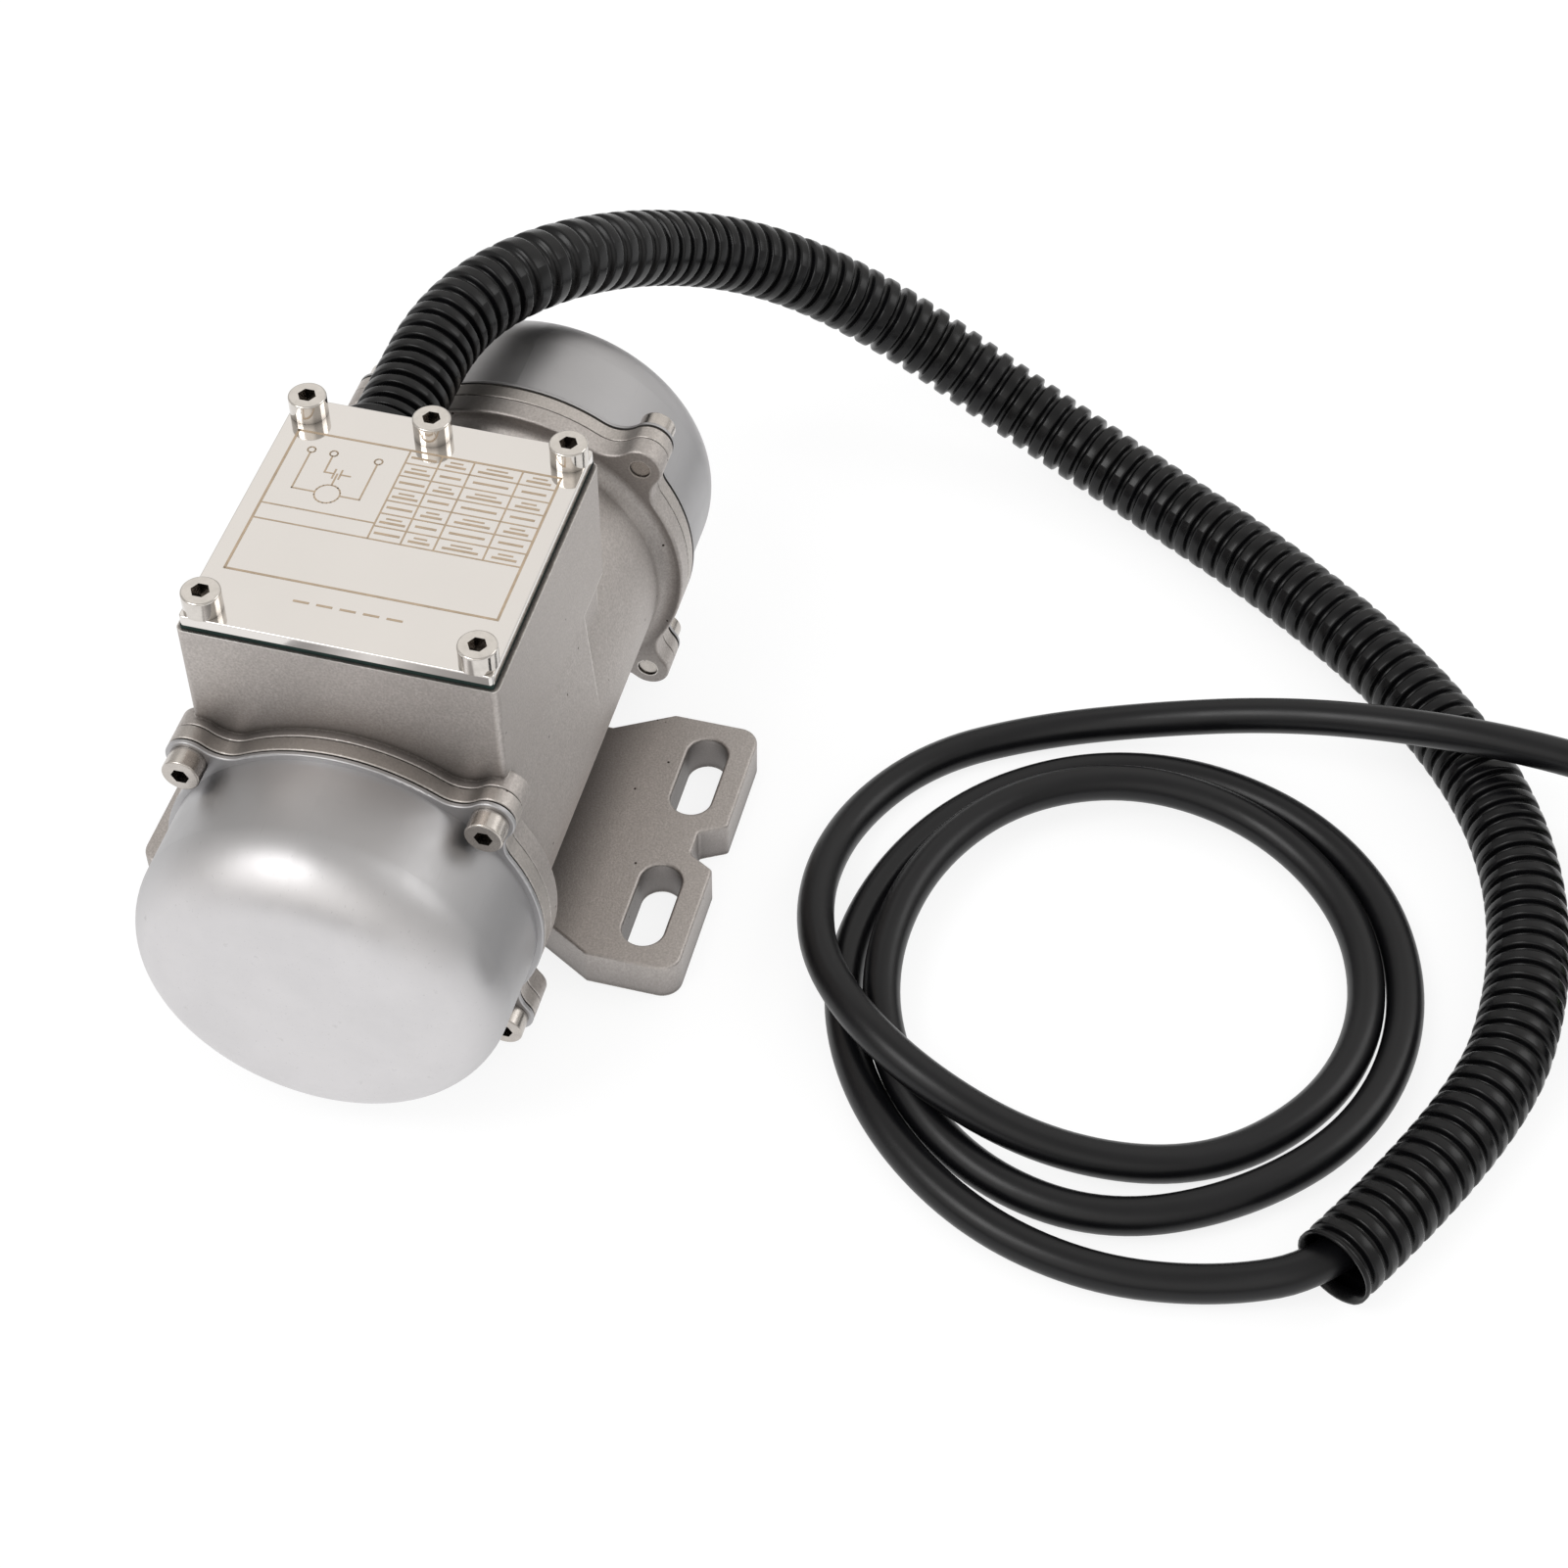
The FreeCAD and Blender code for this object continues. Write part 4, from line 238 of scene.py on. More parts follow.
def spread(
    tree: Tree, value: Socket, span: Pair, result: Pair = (0.0, 1.0), shape: str = "LINEAR"
) -> Socket:
    """Map a span of a value onto another, clamped.

    Args:
        tree: The material's tree.
        value: What is mapped.
        span: The two values that become the two results.
        result: The results.
        shape: Interpolation between them.

    Returns:
        The mapped value.
    """
    settings = {"interpolation_type": shape, "From Min": span[0], "From Max": span[1],
                "To Min": result[0], "To Max": result[1]}
    return add_node(tree, "MapRange", settings, {"Value": value}).outputs["Result"]


def blend(tree: Tree, share: Socket, first: Socket | str, second: Socket | str) -> Socket:
    """Mix two colours by a share.

    Args:
        tree: The material's tree.
        share: How much of the second colour, 0 to 1.
        first: A colour as a socket or as hex digits.
        second: The other colour, likewise.

    Returns:
        The mixed colour.
    """
    settings: dict[str | int, object] = {"data_type": "RGBA"}
    links: dict[str | int, Socket] = {0: share}
    for number, colour in ((6, first), (7, second)):
        if isinstance(colour, str):
            settings[number] = linear(colour)
        else:
            links[number] = colour
    return add_node(tree, "Mix", settings, links).outputs[2]


# ---- paths ----
@dataclass
class Path:
    """A smooth centreline, read from a quadratic spline, with a frame at any length along it."""

    name: str
    controls: list[Triple]
    steps_per_run: int = 24
    points: Array = field(init=False)
    lengths: Array = field(init=False)

    def __post_init__(self) -> None:
        """Build the spline, and read the points that it passes through."""
        curve = bpy.data.curves.new(self.name + "_line", "CURVE")
        curve.dimensions = "3D"
        curve.resolution_u = self.steps_per_run
        spline = curve.splines.new("NURBS")
        spline.points.add(len(self.controls) - 1)
        weights = np.ones(len(self.controls))
        places = np.column_stack([np.array(self.controls) * MM, weights])
        spline.points.foreach_set("co", places.astype(np.float32).ravel())
        spline.order_u = 3
        spline.use_endpoint_u = True
        holder = bpy.data.objects.new(self.name + "_line", curve)
        bpy.context.scene.collection.objects.link(holder)
        line = bpy.data.meshes.new_from_object(holder)
        found = np.empty(len(line.vertices) * 3)
        line.vertices.foreach_get("co", found)
        found = found.reshape(-1, 3) / MM
        step = np.linalg.norm(np.diff(found, axis=0), axis=1)
        apart = step > 1e-4
        self.points = found[np.concatenate([[True], apart])]
        self.lengths = np.concatenate([[0.0], np.cumsum(step[apart])])
        bpy.data.objects.remove(holder)
        bpy.data.curves.remove(curve)
        bpy.data.meshes.remove(line)

    @property
    def length(self) -> float:
        """Length of the whole centreline."""
        return float(self.lengths[-1])

    def at(self, along: Array) -> Array:
        """Points of the centreline at lengths along it, by straight interpolation."""
        axes = (np.interp(along, self.lengths, self.points[:, i]) for i in range(3))
        return np.stack(list(axes), axis=1)

    def frames(self, along: Array) -> tuple[Array, Array, Array]:
        """Place, left-hand side and upper side at lengths along the centreline.

        The side is level: the vertical crossed with the heading. The upper side is the heading
        crossed with that, so nothing twists.

        Args:
            along: Lengths in millimetres.

        Returns:
            Three arrays of shape (n, 3).
        """
        reach = 0.8
        place = self.at(along)
        ahead = self.at(np.minimum(along + reach, self.length))
        behind = self.at(np.maximum(along - reach, 0.0))
        heading = ahead - behind
        heading /= np.linalg.norm(heading, axis=1, keepdims=True)
        side = np.cross([0.0, 0.0, 1.0], heading)
        side /= np.linalg.norm(side, axis=1, keepdims=True)
        return place, side, np.cross(heading, side)

    def rings(self, along: Array, angles: Array, radii: Array) -> Array:
        """Rings of points about the centreline.

        Each point is the place plus the radius times (side x cosine + upper side x sine) of the
        angle.

        Args:
            along: Lengths of the rings.
            angles: Angles of their points.
            radii: Radius at each ring and angle, shape (rings, angles).

        Returns:
            Points, shape (rings, angles, 3).
        """
        place, side, upper = self.frames(along)
        turn = (np.cos(angles)[None, :, None] * side[:, None, :]
                + np.sin(angles)[None, :, None] * upper[:, None, :])
        return place[:, None, :] + radii[:, :, None] * turn


# Control points of the free cords, in millimetres, the same points as the CAD tubes' routes moved
# by a few millimetres at most.
CONDUIT_ROUTE = [
    (16.02, 15.0, 81.3), (28.0, 15.0, 81.3), (55.0, 13.5, 84.3), (79.5, 1.4, 81.0),
    (114.4, -13.3, 61.0), (133.6, -33.6, 44.5), (139.4, -58.4, 28.6), (135.2, -85.2, 15.6),
    (123.9, -116.2, 7.9), (103.0, -151.0, 7.9), (77.4, -182.8, 7.9), (45.6, -205.4, 7.9),
    (8.7, -212.5, 7.9), (-28.1, -206.4, 7.9), (-64.5, -183.6, 7.9),
]
CABLE_ROUTE = [
    (-71.0, -164.6, 3.6), (-74.1, -141.0, 3.6), (-67.2, -116.8, 3.6), (-49.2, -95.4, 3.6),
    (-24.3, -83.8, 3.6), (2.2, -85.3, 3.6), (26.9, -97.3, 3.6), (43.2, -118.2, 3.6),
    (47.7, -142.6, 3.6), (39.8, -167.2, 3.6), (21.6, -184.6, 3.6), (-4.9, -191.5, 3.6),
    (-32.3, -185.3, 5.0), (-52.8, -166.5, 5.0), (-63.1, -142.5, 3.6), (-58.7, -118.2, 3.6),
    (-43.1, -99.8, 4.8), (-21.0, -90.6, 7.8), (5.9, -93.4, 9.2), (28.4, -107.6, 9.0),
    (39.7, -130.9, 8.2), (37.2, -156.6, 5.4), (20.5, -176.8, 3.8), (-4.0, -184.1, 3.6),
    (-28.0, -177.9, 3.6), (-47.2, -158.5, 3.6), (-53.0, -130.8, 7.0), (-46.2, -102.9, 12.9),
    (-27.8, -81.8, 12.2), (-4.5, -74.2, 7.0), (18.9, -76.6, 3.6), (38.1, -88.6, 3.6),
    (50.5, -107.8, 3.6), (57.1, -131.1, 7.0), (58.4, -155.4, 14.0), (55.5, -180.0, 21.0),
    (53.9, -206.8, 23.0), (54.6, -231.7, 18.0), (57.8, -257.0, 4.4),
]
CABLE_START = (-0.9, 15.0, 81.3)


@dataclass(frozen=True)
class CoilShape:
    """The put-away turns of the cable, wound clockwise as seen from above."""

    centre: Pair = (14.0, -275.0)
    outer_radius: float = 43.7
    inner_radius: float = 36.3
    top_radius: float = 40.0
    level: float = 4.4
    top_level: float = 10.8
    step_degrees: float = 24.0
    first_degrees: float = -8.0
    last_degrees: float = -985.0
    # Where each turn starts and ends, with a short step to the next one between.
    stops: tuple[float, ...] = (0, 325, 365, 690, 730, 1000)

    def controls(self) -> list[Triple]:
        """Control points of the turns.

        The angle falls evenly. The radius and height are interpolated between the outer turn, the
        inner turn and the one on top, and the radius is divided by the share that a quadratic
        spline keeps of it.
        """
        count = round((self.first_degrees - self.last_degrees) / self.step_degrees)
        angle = np.linspace(self.first_degrees, self.last_degrees, count + 1)
        kept = 0.75 + 0.25 * math.cos(math.radians(self.step_degrees))
        radii = np.repeat([self.outer_radius, self.inner_radius, self.top_radius], 2)
        heights = np.repeat([self.level, self.level, self.top_level], 2)
        radius = np.interp(-angle, self.stops, radii) / kept
        height = np.interp(-angle, self.stops, heights)
        turn = np.radians(angle)
        x = self.centre[0] + radius * np.cos(turn)
        y = self.centre[1] + radius * np.sin(turn)
        return [(float(a), float(b), float(c)) for a, b, c in zip(x, y, height)]


# ---- finishes ----
@dataclass(frozen=True)
class Finish:
    """A plain finish: one principled shader with a fine, soft relief.

    The grain is the size of its lumps and how deep they are; the mottle is how much the colour
    varies and over what distance; the dirt and shade reach is how far from a corner painted dirt
    and painted shade reach.
    """

    name: str
    colour: str
    roughness: float
    metallic: float = 0.0
    grain_mm: float = 0.5
    grain_height_mm: float = 0.004
    mottle: float = 0.0
    mottle_mm: float = 6.0
    coat: float = 0.0
    specular: float = 0.5
    # How far painted dirt and painted shade reach from corners, and their dark colour.
    dirt_and_shade_mm: float = 0.0
    dirt_and_shade_colour: str = "#2b241e"

    def base(self) -> tuple[Material, Tree, Inputs, Socket]:
        """Start the material.

        Returns:
            The material, its tree, its shader's inputs and the Object coordinates.
        """
        material = bpy.data.materials.new(self.name)
        material.use_nodes = True
        material.diffuse_color = linear(self.colour)
        tree = material.node_tree
        shader = tree.nodes["Principled BSDF"]
        shader.inputs["Base Color"].default_value = linear(self.colour)
        shader.inputs["Metallic"].default_value = self.metallic
        shader.inputs["Roughness"].default_value = self.roughness
        shader.inputs["Coat Weight"].default_value = self.coat
        shader.inputs["Specular IOR Level"].default_value = self.specular
        return material, tree, shader.inputs, add_node(tree, "TexCoord").outputs["Object"]

    def shade(self, factor: float) -> str:
        """The colour made lighter or darker, as a hex colour."""
        channels = (min(255, round(int(self.colour[i:i + 2], 16) * factor)) for i in (1, 3, 5))
        return "#" + "".join(f"{c:02x}" for c in channels)

    def tint(self, tree: Tree, value: Socket, span: Pair) -> Socket:
        """The colour, a little darker where a value is low and lighter where it is high."""
        share = spread(tree, value, span)
        return blend(tree, share, self.shade(1 - self.mottle), self.shade(1 + self.mottle))

    def dirt_and_shade(self, tree: Tree, colour: Socket) -> Socket:
        """Paint dirt and shade into sockets, seams and corners: a dark colour where little sky is
        open nearby.
        """
        if not self.dirt_and_shade_mm:
            return colour
        # Painted dirt and painted shade, darker where the ambient occlusion is low.
        share = spread(tree, openness(tree, self.dirt_and_shade_mm), (0.30, 0.80), (0.95, 0.0))
        return blend(tree, share, colour, self.dirt_and_shade_colour)

    def surface(
        self, tree: Tree, inputs: Inputs, value: Socket, span: Pair, factors: Pair, height: Socket
    ) -> None:
        """Give the shader uneven gloss and a fine relief.

        Args:
            tree: The material's tree.
            inputs: Its shader's inputs.
            value: What the gloss follows.
            span: The value's two ends.
            factors: Share of the roughness at each end.
            height: The relief, between 0 and 1.
        """
        rough = (self.roughness * factors[0], self.roughness * factors[1])
        tree.links.new(spread(tree, value, span, rough), inputs["Roughness"])
        tree.links.new(relief(tree, height, self.grain_height_mm), inputs["Normal"])

    def banded(
        self, tree: Tree, inputs: Inputs, wave: Socket, tones: Pair, depth_mm: float
    ) -> None:
        """Colour and raise fine bands: dark between them, lighter on their backs.

        Args:
            tree: The material's tree.
            inputs: Its shader's inputs.
            wave: The bands.
            tones: Shades between the bands and on them.
            depth_mm: How high they stand.
        """
        colour = blend(tree, wave, self.shade(tones[0]), self.shade(tones[1]))
        tree.links.new(colour, inputs["Base Color"])
        tree.links.new(relief(tree, wave, depth_mm), inputs["Normal"])

    def build(self) -> Material:
        """Make the material: mottled colour, uneven gloss, fine grain, and painted dirt and shade
        in corners where set.
        """
        material, tree, inputs, place = self.base()
        colour = self.tint(tree, noise(tree, place, self.mottle_mm), SOFT)
        tree.links.new(self.dirt_and_shade(tree, colour), inputs["Base Color"])
        self.surface(tree, inputs, noise(tree, place, self.mottle_mm / 2), SOFT, (0.9, 1.12),
                     noise(tree, place, self.grain_mm))
        return material


@dataclass(frozen=True)
class BlastedSteel(Finish):
    """Stainless steel, investment cast and bead blasted.

    A sandy skin without direction, a few dark casting pits, arrises painted pale (part rubbed
    bright, part a painted highlight), and painted shade in the hollows and near the floor. The
    blasting grit is about 0.1 mm, drawn at 0.45 mm to show.
    """

    coarse_tone: float = 0.93
    pit_mm: float = 3.8
    pit_rim: Pair = (0.05, 0.085)
    pit_rarity: float = 0.68
    pit_colour: str = "#3a322c"
    # Arrises: pale for rubbed wear, with a painted highlight along them as well.
    edge_mm: float = 0.6
    edge_ragged_mm: float = 0.9
    edge_bend: Pair = (0.985, 0.87)
    edge_wear_and_highlight_colour: str = "#ebe7e2"
    # Painted shade: how far it reaches from nearby surfaces and how dark it makes the colour.
    painted_shade_mm: float = 14.0
    painted_shade_tone: float = 0.66

    def pits(self, tree: Tree, place: Socket) -> Socket:
        """Small round pits, in a few of the cells."""
        cells = add_node(tree, "TexVoronoi", {"Scale": 1 / (self.pit_mm * MM)},
                         {"Vector": place})
        luck = add_node(tree, "SeparateColor", {}, {0: cells.outputs["Color"]})
        chosen = maths(tree, "GREATER_THAN", luck.outputs[0], self.pit_rarity)
        round_pit = spread(tree, cells.outputs["Distance"], self.pit_rim, (1.0, 0.0))
        return maths(tree, "MULTIPLY", round_pit, chosen)

    def arrises(self, tree: Tree, place: Socket) -> Socket:
        """Ragged lines where a rounded normal differs from the true one."""
        soft = add_node(tree, "Bevel", {"samples": 6, "Radius": self.edge_mm * MM})
        plain = add_node(tree, "NewGeometry").outputs["Normal"]
        same = maths(tree, "DOT_PRODUCT", soft.outputs[0], plain, kind=VECTOR)
        ragged = spread(tree, noise(tree, place, self.edge_ragged_mm), CRISP, self.edge_bend)
        return maths(tree, "LESS_THAN", same, ragged)

    def build(self) -> Material:
        """Make the material: sandy grain, pits, pale ragged arrises (wear and painted highlight)
        and painted shade.
        """
        material, tree, inputs, place = self.base()
        grain = noise(tree, place, self.grain_mm, 4.0)
        coarse = spread(tree, noise(tree, place, self.grain_mm * 5, 2.0), SOFT, (0.0, 0.35))
        # Painted shade where nearby surfaces, the floor among them, cover the sky.
        painted_shade = spread(tree, openness(tree, self.painted_shade_mm), (0.35, 0.95), (1.0, 0.0))
        edge = self.arrises(tree, place)
        pit = self.pits(tree, place)
        colour = self.tint(tree, grain, CRISP)
        # The pale arrises are partly a painted highlight.
        for share, tone in ((coarse, self.shade(self.coarse_tone)),
                            (painted_shade, self.shade(self.painted_shade_tone)),
                            (edge, self.edge_wear_and_highlight_colour), (pit, self.pit_colour)):
            colour = blend(tree, share, colour, tone)
        tree.links.new(self.dirt_and_shade(tree, colour), inputs["Base Color"])
        height = maths(tree, "SUBTRACT", grain, pit)
        self.surface(tree, inputs, edge, (0.0, 1.0), (1.0, 0.7), height)
        return material


@dataclass(frozen=True)
class DrawnSteel(Finish):
    """Stainless sheet, deep drawn and lightly blasted.

    It gives soft, stretched highlights, with a faint cloudiness, a few hairline scratches and
    dull scuffs where it was handled. The wall is painted a little darker than the end: painted
    shade.
    """

    cloud_mm: float = 14.0
    scuff_mm: float = 3.5
    scratch_mm: float = 11.0
    scratch_turns: Triple = (0.6, 0.35, 0.9)
    scratch_squeeze: Triple = (1, 26, 26)
    wear: float = 0.3
    wear_tone: float = 0.8
    # Painted shade on the wall: where it fades out along the shaft, and how dark it is.
    painted_wall_shade_reach: Pair = (66.0, 76.0)
    painted_wall_shade_tone: float = 0.84

    def build(self) -> Material:
        """Make the material: cloudy satin, scuffs and hairlines."""
        material, tree, inputs, place = self.base()
        cloud = noise(tree, place, self.cloud_mm, 4.0)
        scuffs = spread(tree, noise(tree, place, self.scuff_mm, 6.0), (0.66, 0.74))
        turned = add_node(tree, "Mapping",
                          {"Rotation": self.scratch_turns, "Scale": self.scratch_squeeze},
                          {"Vector": place}).outputs[0]
        hair = spread(tree, noise(tree, turned, self.scratch_mm, 1.0), (0.71, 0.74))
        # Painted shade: the cup's wall darker than its end, by distance along the shaft.
        along = add_node(tree, "SeparateXYZ", {}, {0: place}).outputs[0]
        near, far = self.painted_wall_shade_reach
        wall = spread(tree, maths(tree, "ABSOLUTE", along), (near * MM, far * MM), (1.0, 0.0))
        wear = maths(tree, "MULTIPLY", maths(tree, "MAXIMUM", scuffs, hair), self.wear)
        colour = blend(tree, wall, self.tint(tree, cloud, CRISP), self.shade(self.painted_wall_shade_tone))
        colour = blend(tree, wear, colour, self.shade(self.wear_tone))
        tree.links.new(colour, inputs["Base Color"])
        self.surface(tree, inputs, cloud, SOFT, (0.88, 1.15), noise(tree, place, self.grain_mm))
        return material


@dataclass(frozen=True)
class LaminatedSteel(Finish):
    """Punched and stacked sheets of core steel: fine rings across the shaft."""

    sheet_mm: float = 0.5

    def build(self) -> Material:
        """Make the material: the sheets as narrow bands along the shaft."""
        material, tree, inputs, place = self.base()
        wave = bands(tree, place, "X", self.sheet_mm * MM, 0.3)
        self.banded(tree, inputs, wave, (0.7, 1.1), self.grain_height_mm)
        return material


@dataclass(frozen=True)
class StrandedWinding(Finish):
    """Enamelled copper wire, wound and lacquered: round strands side by side."""

    wire_mm: float = 0.8

    def build(self) -> Material:
        """Make the material: strands as bands, warped a little as in a hand-laced bundle."""
        material, tree, inputs, place = self.base()
        wave = bands(tree, place, "DIAGONAL", self.wire_mm * MM, 2.5, 2.0)
        self.banded(tree, inputs, wave, (0.55, 1.15), 0.15)
        return material


@dataclass(frozen=True)
class WovenTape(Finish):
    """Woven nylon hook-and-loop tape: threads crossing at right angles."""

    thread_mm: float = 0.6

    def build(self) -> Material:
        """Make the material: two crossed sets of bands on the strap's own map, in millimetres."""
        material, tree, inputs, _ = self.base()
        place = add_node(tree, "UVMap", {"uv_map": "UVMap"}).outputs[0]
        warp, weft = (bands(tree, place, way, self.thread_mm) for way in ("X", "Y"))
        self.banded(tree, inputs, maths(tree, "MULTIPLY", warp, weft), (0.5, 1.5), 0.12)
        return material


# After the name and colour: roughness, metallic, grain size and depth, mottle and its size.
FINISHES = [
    # Even, sandy and warm grey, without direction.
    BlastedSteel("cast_stainless_bead_blasted", "#beb8b4", 0.50, 1.0, 0.45, 0.05, 0.07,
                 dirt_and_shade_mm=2.5),
    # The same blasting over a smoother skin, so a little brighter.
    BlastedSteel("turned_shield_bead_blasted", "#c2bcb7", 0.46, 1.0, 0.40, 0.035, 0.06,
                 dirt_and_shade_mm=2.5),
    # Cloudy satin, softly stretched highlights.
    DrawnSteel("drawn_stainless_satin", "#d8d6d7", 0.45, 1.0, 0.30, 0.006, 0.02),
    # Mirror polish: sharp reflections, barely uneven.
    Finish("polished_stainless_sheet", "#e0dcd8", 0.06, 1.0, 3.0, 0.0006, 0.006, 20.0),
    # Tumbled bright, with fine handling marks and sockets darkened by painted dirt and shade.
    Finish("polished_stainless_screw", "#d2cdc7", 0.12, 1.0, 0.5, 0.002, 0.03, 1.5, dirt_and_shade_mm=3.0),
    # As they come from the header: softer highlights, sockets darkened by painted dirt and shade.
    Finish("satin_stainless_screw", "#c2bcb6", 0.26, 1.0, 0.35, 0.004, 0.04, 1.5, dirt_and_shade_mm=3.0),
    # Cool, tight highlights.
    Finish("ground_bearing_steel", "#c8c8c8", 0.16, 1.0, 0.4, 0.001, 0.02, 3.0),
    # Greyer, with fine tool marks.
    Finish("machined_carbon_steel", "#a7a5a2", 0.34, 1.0, 0.25, 0.004, 0.05, 3.0),
    # Fine dark lines between the sheets.
    LaminatedSteel("stacked_core_steel", "#8d8b88", 0.42, 1.0, 0.5, 0.02),
    # Red brown and lacquered, strand by strand.
    StrandedWinding("enamelled_copper_wire", "#b0653a", 0.30, 0.0, 0.5, 0.1, coat=0.6),
    # Pale and dull, slightly lumpy.
    Finish("cast_rotor_aluminium", "#bdbfc0", 0.48, 1.0, 0.6, 0.03, 0.06, 4.0),
    # Dark, matt, slightly green.
    Finish("moulded_gasket_rubber", "#1a2e2a", 0.62, 0.0, 0.4, 0.01, 0.12, 2.0, specular=0.25),
    # Flat brown black, no shine.
    Finish("pressed_gasket_paper", "#3a362f", 0.85, 0.0, 0.3, 0.01, 0.1, 2.0, specular=0.2),
    # Smooth moulded skin, half gloss, deep black.
    Finish("moulded_black_polyamide", "#08080a", 0.27, 0.0, 0.8, 0.004, 0.15, 12.0, specular=0.30),
    # Drawn smooth: a slightly wavy skin and a long soft highlight.
    Finish("extruded_black_pvc", "#0a0a0d", 0.33, 0.0, 5.0, 0.03, 0.15, 25.0, specular=0.36),
    # Bone white, softly glossy.
    Finish("moulded_terminal_polyamide", "#d9d6cb", 0.45, 0.0, 0.5, 0.004, 0.03, 5.0),
    # Warm yellow, fairly bright.
    Finish("turned_terminal_brass", "#c9a45c", 0.25, 1.0, 0.3, 0.003, 0.04, 2.0),
    # Charcoal with a soft sheen.
    Finish("moulded_capacitor_shell", "#2c2d30", 0.40, 0.0, 0.6, 0.006, 0.08, 5.0),
    # Brick red, waxy.
    Finish("silicone_lead_sleeve", "#8c2f22", 0.45, 0.0, 0.6, 0.004, 0.06, 4.0),
    # Plain colours, half gloss.
    *(Finish(f"{core}_core_pvc", colour, 0.36, 0.0, 0.8, 0.004, 0.06, 5.0) for core, colour in
      (("brown", "#5b3420"), ("blue", "#1f56a3"), ("earth", "#7fae2c"))),
    # Silvery, faintly streaked.
    Finish("tinned_copper_ferrule", "#cfcac4", 0.24, 1.0, 0.4, 0.003, 0.04, 1.0),
    # Black and dull, with a fine weave.
    WovenTape("woven_nylon_tape", "#1b1c20", 0.8),
    # Tan, satin.
    Finish("moulded_cage_polyamide", "#6c5a3c", 0.5, 0.0, 0.5, 0.004, 0.05, 3.0),
    # A matt, pale brown oxide on the polished sheet.
    Finish("laser_annealed_mark", "#b5a28b", 0.5, 0.4, 0.3, 0.002, 0.05, 2.0),
]

# Which CAD nodes take each finish.
NODE_FINISHES: dict[str, list[str]] = {
    "cast_stainless_bead_blasted": ["housing"],
    "turned_shield_bead_blasted": ["front_end_shield", "rear_end_shield"],
    "drawn_stainless_satin": ["front_cover", "rear_cover"],
    "polished_stainless_sheet": ["lid"],
    "polished_stainless_screw": ["lid_screws"],
    "satin_stainless_screw": ["front_cover_screws", "rear_cover_screws", "earth_screw",
                              "cable_clamp_screws", "terminal_block_screws"],
    "ground_bearing_steel": ["rear_wave_spring"] + [
        f"{end}_bearing_{part}" for end in ("front", "rear")
        for part in ("outer_ring", "inner_ring", "balls", "seals")],
    "machined_carbon_steel": ["shaft"] + [
        f"{end}_{part}" for end in ("front", "rear")
        for part in ("fixed_weight", "adjustable_weight", "weight_key", "weight_grub_screw",
                     "circlip")],
    "stacked_core_steel": ["stator_core", "rotor_core"],
    "enamelled_copper_wire": ["stator_windings"],
    "cast_rotor_aluminium": ["rotor_cage"],
    "moulded_gasket_rubber": ["lid_gasket", "lead_grommet"],
    "pressed_gasket_paper": ["front_cover_gasket", "rear_cover_gasket"],
    "moulded_black_polyamide": ["conduit_collar", "cable_clamp"],
    "moulded_terminal_polyamide": ["terminal_block"],
    "turned_terminal_brass": ["terminal_screws"],
    "moulded_capacitor_shell": ["capacitor"],
    "silicone_lead_sleeve": ["motor_leads", "capacitor_leads"],
    "brown_core_pvc": ["free_core_brown", "supply_cores"],
    "blue_core_pvc": ["free_core_blue"],
    "earth_core_pvc": ["free_core_earth"],
    "tinned_copper_ferrule": ["core_ferrules"],
    "moulded_cage_polyamide": ["front_bearing_cage", "rear_bearing_cage"],
}


